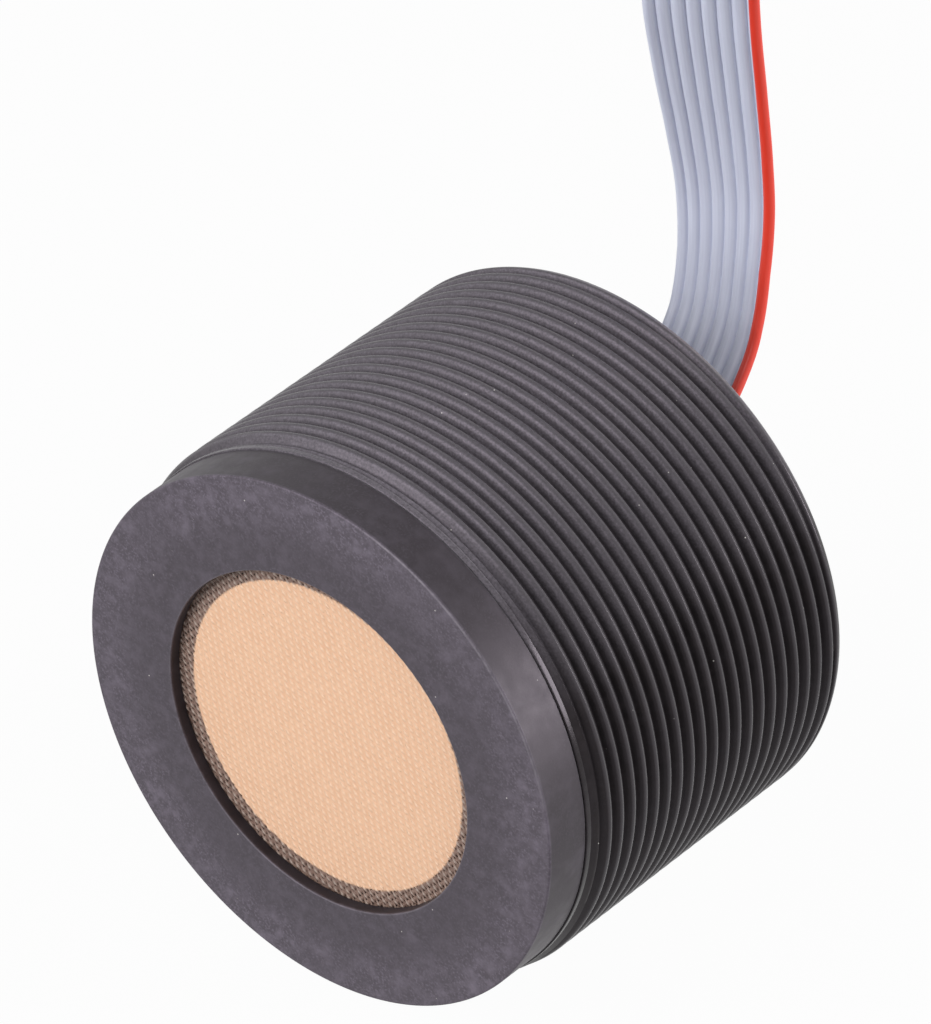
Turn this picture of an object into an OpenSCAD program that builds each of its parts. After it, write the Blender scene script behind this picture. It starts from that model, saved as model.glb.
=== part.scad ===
// Ultrasonic distance sensor in a round threaded housing, with a flat ribbon lead.
// The housing's axis lies along Y and the sensing face looks towards -Y.
// The origin is on the axis, where the full thread begins behind the front ring.

/* [Thread] */
// Crest diameter of the housing's outside thread
thread_d = 49.7; // [49.2:0.1:51]
// Distance from one ridge to the next
thread_pitch = 1.5; // [1.25:0.05:1.75]
// Number of full ridges
thread_ridges = 20; // [16:1:24]
// Width of the flat on each crest
crest_flat = 0.25; // [0.15:0.05:0.35]
// Width of the flat in each root
root_flat = 0.35; // [0.2:0.05:0.4]
// Angle between a flank and the plane across the axis
flank_angle = 30; // [27:1:33]
// Angle of the lead-in cone that clips the first ridge
lead_angle = 30; // [24:1:36]
// Distance from the cone's outer end to the first full crest
lead_gap = 0.22; // [0:0.02:0.4]

/* [Sleeve] */
// Wall of the sleeve from the thread's crest to the bore
sleeve_wall = 2.85; // [2.6:0.05:3.1]
// Height of the rib inside that the transducer is clamped against
rib_h = 2; // [1.7:0.1:2.2]
// Thickness of that rib along the axis
rib_t = 1.5; // [1.2:0.1:2]
// How far the land at the sleeve's front edge lies below the crest
land_drop = 0.55; // [0.4:0.05:0.6]
// Length of that land
land_l = 0.5; // [0.3:0.05:0.7]
// Length of the plain stretch behind the last full ridge
tail_l = 1.65; // [1.5:0.05:2.4]
// How far the rear lip lies below the crest
tail_drop = 0.25; // [0.25:0.05:0.6]

/* [Front ring] */
// How far the ring's side lies below the crest, so that a nut passes over it
ring_drop = 0.7; // [0.7:0.05:1]
// Length of the ring's smooth band
ring_l = 4.4; // [4:0.1:5]
// Width of the ring's lip in front of the transducer's cup
opening_lip = 3.4; // [3.1:0.1:3.6]
// Depth of the opening down to the mesh
opening_depth = 1.15; // [0.9:0.05:1.4]
// Radius of the ring's rounded front edge
ring_round = 0.35; // [0.2:0.05:0.6]
// Chamfer at the edge of the opening
opening_chamfer = 0.2; // [0.1:0.05:0.3]
// Length of the spigot that is bonded into the sleeve
spigot_l = 4.2; // [3.8:0.1:5]
// Wall of that spigot
spigot_wall = 2.95; // [2.7:0.05:3.1]

/* [Transducer] */
// Thickness of the woven mesh over the face
mesh_t = 0.25; // [0.2:0.05:0.35]
// Width of the soft ring between the tan matching layer and the cup
decoupling_w = 3.3; // [2.9:0.1:3.6]
// Thickness of the matching layer
matching_t = 2.6; // [2.2:0.1:3]
// How far the matching layer stands out past the piezo disc all round
piezo_step = 1.65; // [1.2:0.05:2.2]
// Thickness of the piezo disc
piezo_t = 2.5; // [2:0.1:3]
// Wall of the transducer cup
cup_wall = 1.5; // [1.3:0.05:1.7]
// Thickness of the cup's floor
cup_floor = 1.2; // [1:0.1:1.5]
// Depth of damping material behind the piezo disc
damping_l = 5.5; // [5:0.1:6.5]
// Thickness of the cup's flange
flange_t = 1.4; // [1.2:0.1:1.8]
// Thickness of the gasket behind the flange
gasket_t = 0.85; // [0.7:0.05:1.1]
// How far the decoupling ring's front lies behind the mesh
decoupling_recess = 1.2; // [1:0.05:1.4]

/* [Electronics] */
// Thickness of the circuit board
board_t = 1.6; // [1.2:0.1:2]
// Clear height between the rib and the board
board_gap = 7.6; // [7.2:0.1:9]
// Wall of the spacer tube and of the rear cover's skirt
tube_wall = 1.5; // [1.2:0.1:1.7]
// Height of the room for components behind the board
component_room = 12.3; // [11.6:0.1:13]
// Diameter of the leads' insulation
lead_d = 1; // [0.8:0.05:1.2]
// Distance of each lead from the axis where it leaves the piezo disc
lead_offset = 6; // [5:0.1:8]

/* [Rear cover] */
// Thickness of the rear cover's disc
cover_t = 1.8; // [1.5:0.1:2.2]
// Thickness of the grommet's inner and outer lips
grommet_lip = 0.8; // [0.6:0.05:0.9]
// How far the grommet's body stands around the ribbon
grommet_wall = 1.2; // [1:0.05:1.5]
// How far each lip stands past the grommet's body
grommet_brim = 0.9; // [0.6:0.05:1.1]

/* [Ribbon] */
// Number of conductors in the ribbon
ways = 8;
// Distance from one conductor to the next
way_pitch = 1.27; // [1.25:0.01:1.29]
// Thickness of the ribbon
ribbon_t = 0.9; // [0.8:0.05:1]
// Height of the ribbon's exit above the axis
exit_z = 4.9; // [4.9:0.1:5.3]

/* [Connector] */
// Distance between neighbouring contacts
contact_pitch = 2.54; // [2.5:0.01:2.6]
// Length of the connector across the ribbon
connector_l = 14.8; // [14.4:0.1:15.6]
// Width of the connector along the ribbon
connector_w = 6.1; // [5.9:0.1:6.5]
// Height of the connector's body above the ribbon
connector_h = 7; // [6.5:0.1:8]
// Thickness of the clamping bar under the ribbon
bar_t = 3; // [2.6:0.05:3]
// Side of each square contact hole
contact_hole = 1.1; // [1:0.05:1.3]

/* [Fits] */
// Radial clearance between bonded or slid-in round pieces
fit = 0.05; // [0.03:0.01:0.08]
// Clearance around the ribbon where it is held
ribbon_fit = 0.05; // [0.03:0.01:0.08]

/* [Hidden] */
$fn = 96;

// Radii and heights of the thread
thread_r = thread_d / 2;
ridge_h = (thread_pitch - crest_flat - root_flat) / 2 / tan(flank_angle);
root_r = thread_r - ridge_h;
flank_l = ridge_h * tan(flank_angle);
thread_l = (thread_ridges - 1) * thread_pitch + crest_flat;

// Places along the axis, front to back
flank_foot_y = -flank_l;
clipped_root_y = flank_foot_y - root_flat;
land_r = thread_r - land_drop;
cone_foot_r = land_r - 0.1;
cone_y = -lead_gap - (thread_r - cone_foot_r) / tan(lead_angle);
land_y = cone_y - land_l;
joint_gap = 0.05;
band_y = land_y - joint_gap;
face_y = band_y - ring_l;
mesh_y = face_y + opening_depth;
cup_y = mesh_y + mesh_t;
matching_y = cup_y + fit;
piezo_y = matching_y + matching_t;
damping_y = piezo_y + piezo_t;
floor_y = damping_y + damping_l;
flange_y = band_y + spigot_l;
gasket_y = flange_y + flange_t;
rib_y = gasket_y + gasket_t;
spacer_y = rib_y + rib_t;
board_y = spacer_y + board_gap;
parts_y = board_y + board_t;
cover_y = parts_y + component_room;
cover_back_y = cover_y + cover_t;
rear_y = thread_l + tail_l;

// The clipped ridge: where the lead-in cone meets the flank behind the ridge that it cuts
cone_rise = tan(lead_angle);
flank_fall = 1 / tan(flank_angle);
tip_y = (root_r - cone_foot_r + cone_y * cone_rise + clipped_root_y * flank_fall)
    / (cone_rise + flank_fall);
tip_r = cone_foot_r + (tip_y - cone_y) * cone_rise;

// Radii of what goes into the sleeve
bore_r = thread_r - sleeve_wall;
rib_r = bore_r - rib_h;
insert_r = bore_r - fit;
pocket_r = insert_r - spigot_wall;
cup_r = pocket_r - fit;
cup_in_r = cup_r - cup_wall;
matching_r = cup_in_r - decoupling_w;
piezo_r = matching_r - piezo_step;
opening_r = pocket_r - opening_lip;
tube_in_r = insert_r - tube_wall;
lead_r = lead_d / 2;
lead_hole_r = lead_r + 0.1;

// The ribbon's section and the grommet around it
ribbon_w = (ways - 1) * way_pitch + ribbon_t;
hole_w = ribbon_w + 2 * ribbon_fit;
hole_t = ribbon_t + 2 * ribbon_fit;
body_w = hole_w + 2 * grommet_wall;
body_t = hole_t + 2 * grommet_wall;

// The connector at the ribbon's far end rests on the surface under the housing
slit = ribbon_t / 2 + ribbon_fit;
rest_z = -thread_r + bar_t + slit;

// Route of the ribbon's middle: sideways, back from the housing's rear end, height, and
// the turn of its width about the vertical in degrees
ribbon_route = [
    [0, -11, exit_z, 0], [0, 0, exit_z, 0], [0, 1.5, exit_z, 0],
    [-0.1, 5.5, 5.7, -1], [-0.2, 9.6, 7.6, -3], [-0.4, 12.8, 10.1, -4],
    [-0.8, 15.4, 13.2, -3], [-1.5, 17.2, 17.6, 2], [-2.1, 18, 23, 9],
    [-2.6, 17.7, 28.6, 15], [-2.8, 16.6, 35.2, 21], [-2.7, 15.1, 43, 27],
    [-2.5, 14.5, 49, 28], [-3, 15.5, 55.5, 28], [-5, 19.5, 61, 28],
    [-8.5, 26, 64, 28], [-12, 33, 62.5, 28], [-15.5, 39.5, 57, 28],
    [-20.5, 48.5, 45.5, 28], [-25.5, 58, 31.5, 28], [-31, 68, 18, 28],
    [-37, 79.5, 4.5, 28], [-44.5, 93.5, -8.5, 28], [-53.5, 110.5, -17.5, 28],
    [-61, 124.8, rest_z + 0.2, 28], [-64.2, 130.9, rest_z, 28], [-68, 138, rest_z, 28]
];
// Steps that each stretch of the route is drawn in
route_steps = 3;
// Share of the ribbon's thickness that is rounded off at each side
ribbon_edge = 0.3;

// The connector sits at the end of the route, with the ribbon between its two halves
last_point = ribbon_route[len(ribbon_route) - 1];
connector_turn = last_point[3];

// Colours as the object shows them
c_black = [0.27, 0.26, 0.29];
c_tan = [0.92, 0.77, 0.65];
c_grey = [0.70, 0.74, 0.82];
c_green = [0.10, 0.35, 0.22];
c_metal = [0.75, 0.75, 0.77];

// Puts a shape's own Z along the housing's axis, at y and at a place across the axis
module along(y, x = 0, z = 0) {
    translate([x, y, z]) rotate([-90, 0, 0]) children();
}

// A ring between two radii, from one place on the axis to another
module tube(r_in, r_out, y0, y1) {
    along(0) rotate_extrude()
        polygon([[r_in, y0], [r_out, y0], [r_out, y1], [r_in, y1]]);
}

// A plain disc from one place on the axis to another
module disc(r, y0, y1) {
    along(y0) cylinder(r = r, h = y1 - y0);
}

// Outline points of one full ridge whose crest begins at y
function ridge(y) = [
    [root_r, y - flank_l], [thread_r, y],
    [thread_r, y + crest_flat], [root_r, y + crest_flat + flank_l]
];

module threaded_sleeve() {
    ridges = [for (i = [0 : thread_ridges - 1]) each ridge(i * thread_pitch)];
    edge = 0.15;
    tail_r = thread_r - tail_drop;
    tail_y = thread_l + flank_l + root_flat;
    outline = concat(
        [[bore_r, land_y], [land_r - 0.1, land_y], [land_r, land_y + 0.1],
         [land_r, cone_y - 0.15], [cone_foot_r, cone_y],
         [tip_r, tip_y], [root_r, clipped_root_y]],
        ridges,
        [[root_r, tail_y], [tail_r, tail_y + (tail_r - root_r) * tan(flank_angle)],
         [tail_r, rear_y - edge], [tail_r - edge, rear_y], [bore_r + edge, rear_y],
         [bore_r, rear_y - edge], [bore_r, spacer_y], [rib_r, spacer_y],
         [rib_r, rib_y], [bore_r, rib_y]]
    );
    color(c_black) along(0) rotate_extrude() polygon(outline);
}

module front_ring() {
    r = thread_r - ring_drop;
    hole_r = opening_r;
    rounded = [for (a = [0 : 15 : 90])
        [r - ring_round * (1 - sin(a)), face_y + ring_round * (1 - cos(a))]];
    outline = concat(
        [[hole_r, face_y + opening_chamfer], [hole_r + opening_chamfer, face_y]],
        rounded,
        [[r, band_y - 0.1], [r - 0.1, band_y], [insert_r, band_y],
         [insert_r, flange_y - 0.3], [insert_r - 0.3, flange_y], [pocket_r, flange_y],
         [pocket_r, mesh_y], [hole_r, mesh_y]]
    );
    color(c_black) along(0) rotate_extrude() polygon(outline);
}

module face_mesh() {
    color([0.72, 0.64, 0.58]) disc(cup_r, mesh_y, mesh_y + mesh_t);
}

module matching_layer() {
    color(c_tan) disc(matching_r, matching_y, piezo_y);
}

module piezo_disc() {
    color([0.80, 0.79, 0.72]) disc(piezo_r, piezo_y, damping_y);
}

// Soft ring that holds the matching layer and the piezo disc clear of the cup
module decoupling_ring() {
    front_y = cup_y + decoupling_recess;
    color([0.16, 0.15, 0.16]) along(0) rotate_extrude() polygon([
        [matching_r + fit, front_y], [cup_in_r - fit, front_y],
        [cup_in_r - fit, damping_y], [piezo_r + fit, damping_y],
        [piezo_r + fit, piezo_y], [matching_r + fit, piezo_y]
    ]);
}

module damping_block() {
    color([0.32, 0.33, 0.36]) difference() {
        disc(cup_in_r - fit, damping_y, floor_y);
        for (side = [-1, 1])
            along(damping_y - 1, side * lead_offset) cylinder(r = lead_hole_r, h = damping_l + 2);
    }
}

// Cup that holds the transducer, with the flange that the ring clamps against the rib
module transducer_cup() {
    color([0.20, 0.20, 0.22]) difference() {
        along(0) rotate_extrude() polygon([
            [0, floor_y], [cup_in_r, floor_y], [cup_in_r, cup_y], [cup_r, cup_y],
            [cup_r, flange_y], [insert_r - fit, flange_y], [insert_r - fit, gasket_y],
            [cup_r, gasket_y], [cup_r, floor_y + cup_floor], [0, floor_y + cup_floor]
        ]);
        for (side = [-1, 1])
            along(floor_y - 1, side * lead_offset) cylinder(r = lead_hole_r, h = cup_floor + 2);
    }
}

module flange_gasket() {
    color([0.12, 0.12, 0.12]) tube(rib_r + 0.1, insert_r - fit, gasket_y, rib_y);
}

// One lead: straight from the piezo disc through the damping block and the cup to the board
module lead(side) {
    along(damping_y, side * lead_offset)
        cylinder(r = lead_r, h = board_y - damping_y, $fn = 24);
}

module signal_lead() {
    color("firebrick") lead(1);
}

module ground_lead() {
    color("black") lead(-1);
}

module spacer_tube() {
    color([0.85, 0.84, 0.80]) tube(tube_in_r, insert_r, spacer_y, board_y);
}

// Where each soldered conductor of the ribbon meets the board
function way_x(i) = (i - (ways - 1) / 2) * way_pitch;
wire_r = 0.2;
wire_hole_r = 0.3;

module circuit_board() {
    color(c_green) difference() {
        disc(insert_r, board_y, parts_y);
        for (i = [0 : ways - 1])
            along(board_y - 1, way_x(i), exit_z)
                cylinder(r = wire_hole_r, h = board_t + 2, $fn = 24);
    }
}

// The transformer stands on the board behind and below the axis
core_size = [13, 12, 5];
core_leg = 4;
core_back = 2.6;
bobbin_wall = 0.6;
bobbin_play = 0.1;
window_l = core_size[0] - 2 * core_back;
window_w = (core_size[1] - core_leg) / 2 - core_back;
bobbin_h = core_size[2] + 2 * (bobbin_play + bobbin_wall + 1.2);
transformer_z = -10.5;

module on_transformer() {
    along(parts_y + bobbin_h / 2, 0, transformer_z) children();
}

module block(size) {
    translate(-size / 2) cube(size);
}

module transformer_core() {
    color([0.25, 0.25, 0.27]) on_transformer() difference() {
        block(core_size);
        for (side = [-1, 1])
            translate([0, side * (core_leg + window_w) / 2, 0])
                block([window_l, window_w, core_size[2] + 2]);
    }
}

// Former around the middle leg, with a flange at each end and a foot on the board
module transformer_bobbin() {
    inner = [window_l, core_leg + 2 * bobbin_play, core_size[2] + 2 * bobbin_play];
    barrel_l = window_l - 2 * bobbin_play;
    flange_w = core_leg + 2 * window_w - 2 * bobbin_play;
    color([0.90, 0.88, 0.80]) on_transformer() difference() {
        union() {
            block([barrel_l, inner[1] + 2 * bobbin_wall, inner[2] + 2 * bobbin_wall]);
            for (side = [-1, 1])
                translate([side * (barrel_l - bobbin_wall) / 2, 0, 0])
                    block([bobbin_wall, flange_w, bobbin_h]);
        }
        block([inner[0] + 1, inner[1], inner[2]]);
    }
}

module transformer_winding() {
    gap = 0.05;
    barrel_w = core_leg + 2 * (bobbin_play + bobbin_wall);
    barrel_h = core_size[2] + 2 * (bobbin_play + bobbin_wall);
    coil_l = window_l - 2 * (bobbin_play + bobbin_wall + gap);
    coil_w = core_leg + 2 * window_w - 2 * bobbin_play - 0.4;
    coil_h = bobbin_h - 0.6;
    color([0.72, 0.40, 0.20]) on_transformer() rotate([0, 90, 0]) difference() {
        translate([0, 0, -coil_l / 2]) linear_extrude(coil_l) rounded_box([coil_h, coil_w], 0.9);
        block([barrel_h + 2 * gap, barrel_w + 2 * gap, coil_l + 2]);
    }
}

// Flat outline with round corners, made of true arcs
module rounded_box(size, r) {
    square([size[0] - 2 * r, size[1]], center = true);
    square([size[0], size[1] - 2 * r], center = true);
    for (x = [-1, 1], y = [-1, 1])
        translate([x * (size[0] / 2 - r), y * (size[1] / 2 - r)]) circle(r = r, $fn = 24);
}

// Places of the parts across a board with this clear radius inside its rim
layout_r = 20.45;
function on_board(at) = at * tube_in_r / layout_r;

// Moulded chips: side, thickness and place across the board
control_chip_size = [7, 7, 1.4];
control_chip_place = [-12.2, 1];
control_chip_at = on_board(control_chip_place);
amplifier_size = [3.9, 4.9, 1.4];
amplifier_place = [-9.6, 10.6];
amplifier_at = on_board(amplifier_place);
chip_lift = 0.15;

// Can and crystal, bead, and the rows of small parts
capacitor_r = 4;
capacitor_h = 9.6;
capacitor_place = [13.4, 1.5];
capacitor_at = on_board(capacitor_place);
crystal_l = 11;
crystal_w = 4.4;
crystal_h = 3.4;
crystal_place = [3, 13.6];
crystal_at = on_board(crystal_place);
bead_r = 1.1;
bead_leg = 3;
bead_place = [11.6, 9.6];
bead_at = on_board(bead_place);
small_size = [2, 1.24];
small_capacitor_h = 0.9;
small_resistor_h = 0.5;
small_pitch = 3.2;
small_step = 2.5;
row_at = [-4.2, 9.2];
corner_at = [-15.8, 8.2];
right_at = [11.6, -5.6];
left_at = [-13.8, -6.9];
beside = [small_pitch, 0];
below = [0, -small_step];
small_capacitor_at = [row_at, corner_at, right_at, right_at + beside, left_at, left_at + beside];
small_resistor_at = concat(
    [for (i = [1 : 4]) row_at + i * beside],
    [right_at + below, right_at + beside + below, left_at + below, left_at + beside + below]
);

module chip(size, at) {
    along(parts_y + chip_lift, at[0], at[1])
        translate([-size[0] / 2, -size[1] / 2, 0]) cube(size);
}

module control_chip() {
    dot = 2.6;
    top_y = parts_y + chip_lift + control_chip_size[2];
    color([0.16, 0.16, 0.17]) difference() {
        chip(control_chip_size, control_chip_at);
        along(top_y - 0.1, control_chip_at[0] - dot, control_chip_at[1] + dot)
            cylinder(r = 0.4, h = 1, $fn = 24);
    }
}

module amplifier_chip() {
    color([0.16, 0.16, 0.17]) chip(amplifier_size, amplifier_at);
}

// One bent pin that leaves a chip at its own origin and steps down to the board
module pin(w) {
    t = 0.2;
    rise = 0.7;
    out = 0.5;
    foot = 0.6;
    translate([0, -w / 2, rise]) cube([out + t, w, t]);
    translate([out, -w / 2, 0]) cube([t, w, rise + t]);
    translate([out, -w / 2, 0]) cube([foot, w, t]);
}

module chip_pins() {
    count = 8;
    step = 0.8;
    color(c_metal) {
        for (turn = [0 : 90 : 270], i = [0 : count - 1])
            along(parts_y, control_chip_at[0], control_chip_at[1]) rotate([0, 0, turn])
                translate([control_chip_size[0] / 2, (i - (count - 1) / 2) * step, 0]) pin(0.3);
        for (turn = [0, 180], i = [-1.5 : 1.5])
            along(parts_y, amplifier_at[0], amplifier_at[1]) rotate([0, 0, turn])
                translate([amplifier_size[0] / 2, i * 1.27, 0]) pin(0.4);
    }
}

module quartz_crystal() {
    rim = 0.4;
    color(c_metal) along(parts_y, crystal_at[0], crystal_at[1]) {
        linear_extrude(0.6) rounded_box([crystal_l, crystal_w], crystal_w / 2 - 0.01);
        linear_extrude(crystal_h)
            rounded_box([crystal_l - 2 * rim, crystal_w - 2 * rim], crystal_w / 2 - rim - 0.02);
    }
}

// Can with a seated base, a crimped groove and a rounded top
module storage_capacitor() {
    r = capacitor_r;
    h = capacitor_h;
    top = [for (a = [0 : 15 : 90]) [r - 0.5 + 0.5 * cos(a), h - 0.5 + 0.5 * sin(a)]];
    color([0.18, 0.22, 0.38]) along(parts_y, capacitor_at[0], capacitor_at[1]) rotate_extrude()
        polygon(concat([[0, 0], [r, 0], [r, 1], [r - 0.3, 1.35], [r, 1.7]], top, [[0, h]]));
}

// Small parts that stand flat on the board, at a list of places
module small_parts(places, h) {
    for (at = places)
        along(parts_y, on_board(at)[0], on_board(at)[1])
            translate([-small_size[0] / 2, -small_size[1] / 2, 0])
                cube([small_size[0], small_size[1], h]);
}

module chip_capacitors() {
    color([0.76, 0.66, 0.50]) small_parts(small_capacitor_at, small_capacitor_h);
}

module chip_resistors() {
    color([0.12, 0.12, 0.13]) small_parts(small_resistor_at, small_resistor_h);
}

// Bead that follows the temperature in the housing, on its two legs
module thermistor() {
    color([0.15, 0.30, 0.20]) {
        along(parts_y + bead_leg + bead_r * 0.8, bead_at[0], bead_at[1]) sphere(r = bead_r, $fn = 32);
        for (side = [-0.6, 0.6])
            along(parts_y, bead_at[0] + side, bead_at[1])
                cylinder(r = 0.2, h = bead_leg + 0.5, $fn = 16);
    }
}

module ribbon_wire_ends() {
    ribbon_start_y = rear_y + ribbon_route[0][1];
    color(c_metal) for (i = [0 : ways - 1])
        along(board_y - 0.5, way_x(i), exit_z)
            cylinder(r = wire_r, h = ribbon_start_y - board_y + 0.5, $fn = 16);
}

// Slot outline across the axis, at the height of the ribbon's exit
module slot(w, t, y0, y1) {
    along(y0, 0, exit_z) linear_extrude(y1 - y0) rounded_box([w, t], t / 2 - 0.01);
}

// Disc with a skirt that reaches forward to the board
module rear_cover() {
    color(c_black) difference() {
        along(0) rotate_extrude() polygon([
            [0, cover_y], [tube_in_r, cover_y], [tube_in_r, parts_y], [insert_r, parts_y],
            [insert_r, cover_back_y], [0, cover_back_y]
        ]);
        slot(body_w, body_t, cover_y - 1, cover_back_y + 1);
    }
}

module cable_grommet() {
    neck = 0.03;
    color([0.10, 0.10, 0.10]) difference() {
        union() {
            slot(body_w - 2 * neck, body_t - 2 * neck, cover_y - 0.1, cover_back_y + 0.1);
            for (y = [cover_y - grommet_lip, cover_back_y])
                slot(body_w + 2 * grommet_brim, body_t + 2 * grommet_brim, y, y + grommet_lip);
        }
        along(cover_y - 3, 0, exit_z) linear_extrude(cover_t + 6)
            square([hole_w, hole_t], center = true);
    }
}

// The route is a chain of smooth cubic stretches through its points
function unit(v) = v / norm(v);
function place(i) = [ribbon_route[i][0], rear_y + ribbon_route[i][1], ribbon_route[i][2]];
last_i = len(ribbon_route) - 1;
function heading(i) = unit(place(min(i + 1, last_i)) - place(max(i - 1, 0)));
function stretch(i, s) =
    let (a = place(i), b = place(i + 1), l = norm(b - a), ta = heading(i) * l,
         tb = heading(i + 1) * l, q = s * s, c = q * s)
    a * (2 * c - 3 * q + 1) + ta * (c - 2 * q + s) + b * (3 * q - 2 * c) + tb * (c - q);
function turn_at(i, s) = ribbon_route[i][3] * (1 - s) + ribbon_route[i + 1][3] * s;
route_rings = last_i * route_steps + 1;
route_places = [for (k = [0 : route_rings - 1])
    let (i = min(floor(k / route_steps), last_i - 1)) stretch(i, k / route_steps - i)];
route_turns = [for (k = [0 : route_rings - 1])
    let (i = min(floor(k / route_steps), last_i - 1)) turn_at(i, k / route_steps - i)];
function ring_heading(k) =
    unit(route_places[min(k + 1, route_rings - 1)] - route_places[max(k - 1, 0)]);
function width_way(k) =
    let (flat = [cos(route_turns[k]), sin(route_turns[k]), 0], t = ring_heading(k))
    unit(flat - t * (flat * t));

// Eight corner points of the ribbon's section at one ring
function ribbon_ring(k) =
    let (w = width_way(k), n = cross(w, ring_heading(k)), a = ribbon_w / 2, b = ribbon_t / 2,
         inset = ribbon_edge * ribbon_t)
    [for (c = [[a, -b + inset], [a, b - inset], [a - inset, b], [-a + inset, b],
               [-a, b - inset], [-a, -b + inset], [-a + inset, -b], [a - inset, -b]])
        route_places[k] + w * c[0] + n * c[1]];

module ribbon_cable() {
    rings = route_rings;
    sides = 8;
    points = [for (i = [0 : rings - 1]) each ribbon_ring(i)];
    walls = [for (i = [0 : rings - 2], k = [0 : sides - 1])
        let (next = (k + 1) % sides)
        [i * sides + k, i * sides + next, (i + 1) * sides + next, (i + 1) * sides + k]];
    front = [for (k = [sides - 1 : -1 : 0]) k];
    back = [for (k = [0 : sides - 1]) (rings - 1) * sides + k];
    color(c_grey) polyhedron(points, concat(walls, [front, back]), convexity = 8);
}

// Frame of the connector: X across the ribbon, Y along it, Z up, ribbon at the origin
module at_connector() {
    translate([last_point[0], rear_y + last_point[1], last_point[2]])
        rotate([0, 0, connector_turn]) translate([0, 0.3 - connector_w / 2, 0]) children();
}

latch_w = 1.2;
latch_h = 4.6;
latch_t = 0.7;

// Positions of the contact holes, in two rows
function contact_at(i) = [(i % (ways / 2) - (ways / 2 - 1) / 2) * contact_pitch,
                          (i < ways / 2 ? -0.5 : 0.5) * contact_pitch];

module connector_body() {
    play = 0.1;
    key = [3.6, 0.8, 4];
    hole_depth = connector_h - 1.2;
    color([0.20, 0.20, 0.21]) at_connector() difference() {
        union() {
            translate([-connector_l / 2, -connector_w / 2, slit])
                cube([connector_l, connector_w, connector_h]);
            translate([-key[0] / 2, connector_w / 2 - 0.01, slit + connector_h - key[2] - 0.8])
                cube(key);
        }
        for (i = [0 : ways - 1])
            translate([contact_at(i)[0] - contact_hole / 2, contact_at(i)[1] - contact_hole / 2,
                       slit + connector_h - hole_depth])
                cube([contact_hole, contact_hole, hole_depth + 1]);
        for (side = [-1, 1])
            translate([side * (connector_l / 2 - latch_t / 2 + 0.5) - latch_t / 2 - play - 0.5,
                       -latch_w / 2 - play - 0.5, slit - 1])
                cube([latch_t + 2 * play + 1, latch_w + 2 * play + 1, latch_h + play + 1]);
    }
}

// Bar that presses the ribbon home, with a latch leg at each end
module connector_bar() {
    color([0.20, 0.20, 0.21]) at_connector() {
        difference() {
            translate([-connector_l / 2, -connector_w / 2, -slit - bar_t])
                cube([connector_l, connector_w, bar_t]);
            for (i = [0 : ways - 1])
                translate([way_x(i), -connector_w / 2 - 1, -slit + ribbon_t / 4])
                    rotate([-90, 0, 0]) cylinder(r = ribbon_t / 2, h = connector_w + 2, $fn = 24);
        }
        for (side = [-1, 1])
            translate([side * (connector_l / 2 - latch_t / 2) - latch_t / 2, -latch_w / 2, -slit - 0.5])
                cube([latch_t, latch_w, latch_h + 2 * slit + 0.4]);
    }
}

// Sprung forks in the contact holes
module connector_contacts() {
    leaf = 0.2;
    blade = 0.7;
    length = connector_h - 2.2;
    floor_z = slit + 1.2 + 0.05;
    spread = contact_hole - 2 * 0.05;
    color([0.85, 0.72, 0.40]) at_connector() for (i = [0 : ways - 1])
        translate([contact_at(i)[0], contact_at(i)[1], floor_z]) {
            translate([-spread / 2, -blade / 2, 0]) cube([spread, blade, leaf]);
            for (side = [-1, 1])
                translate([side * (spread - leaf) / 2 - leaf / 2, -blade / 2, 0])
                    cube([leaf, blade, length]);
        }
}

threaded_sleeve();
front_ring();
face_mesh();
matching_layer();
piezo_disc();
decoupling_ring();
damping_block();
transducer_cup();
flange_gasket();
signal_lead();
ground_lead();
spacer_tube();
circuit_board();
transformer_core();
transformer_bobbin();
transformer_winding();
control_chip();
amplifier_chip();
chip_pins();
quartz_crystal();
storage_capacitor();
chip_capacitors();
chip_resistors();
thermistor();
ribbon_wire_ends();
rear_cover();
cable_grommet();
ribbon_cable();
connector_body();
connector_bar();
connector_contacts();
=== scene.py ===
"""Ultrasonic distance sensor: threaded housing and ribbon lead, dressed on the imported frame."""
import logging
import math
from dataclasses import dataclass, field
from enum import Enum
from functools import partial

import bmesh
import bpy
import numpy as np
from mathutils import Matrix, Vector


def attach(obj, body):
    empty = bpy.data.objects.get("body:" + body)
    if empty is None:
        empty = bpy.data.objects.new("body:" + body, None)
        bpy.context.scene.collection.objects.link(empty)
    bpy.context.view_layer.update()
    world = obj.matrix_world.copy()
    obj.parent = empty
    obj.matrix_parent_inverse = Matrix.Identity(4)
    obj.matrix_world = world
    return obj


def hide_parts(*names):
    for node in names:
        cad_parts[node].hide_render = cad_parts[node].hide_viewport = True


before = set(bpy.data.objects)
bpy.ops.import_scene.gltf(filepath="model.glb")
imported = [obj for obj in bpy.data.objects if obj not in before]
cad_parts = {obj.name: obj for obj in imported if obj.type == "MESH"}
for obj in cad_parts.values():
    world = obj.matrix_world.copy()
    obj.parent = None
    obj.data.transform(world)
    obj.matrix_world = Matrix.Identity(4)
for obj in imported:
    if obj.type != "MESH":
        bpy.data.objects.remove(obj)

MM = 0.001
ROOT = "root"
BAND_TURN = 6.283
log = logging.getLogger("sensor")

Colour = tuple[float, float, float, float]
Inputs = dict[str | int, object]


class Slot(Enum):
    """Names of the record's material slots."""

    HOUSING = "housing"
    RING = "front_ring"
    MESH = "woven_mesh"
    MATCHING = "matching_layer"
    RUBBER = "seal_rubber"
    RIBBON = "ribbon_insulation"
    CONNECTOR = "connector_plastic"


class Seam(Enum):
    """How the last angle of a turned grid joins the first one."""

    PLAIN = "plain"
    HELICAL = "helical"


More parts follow.
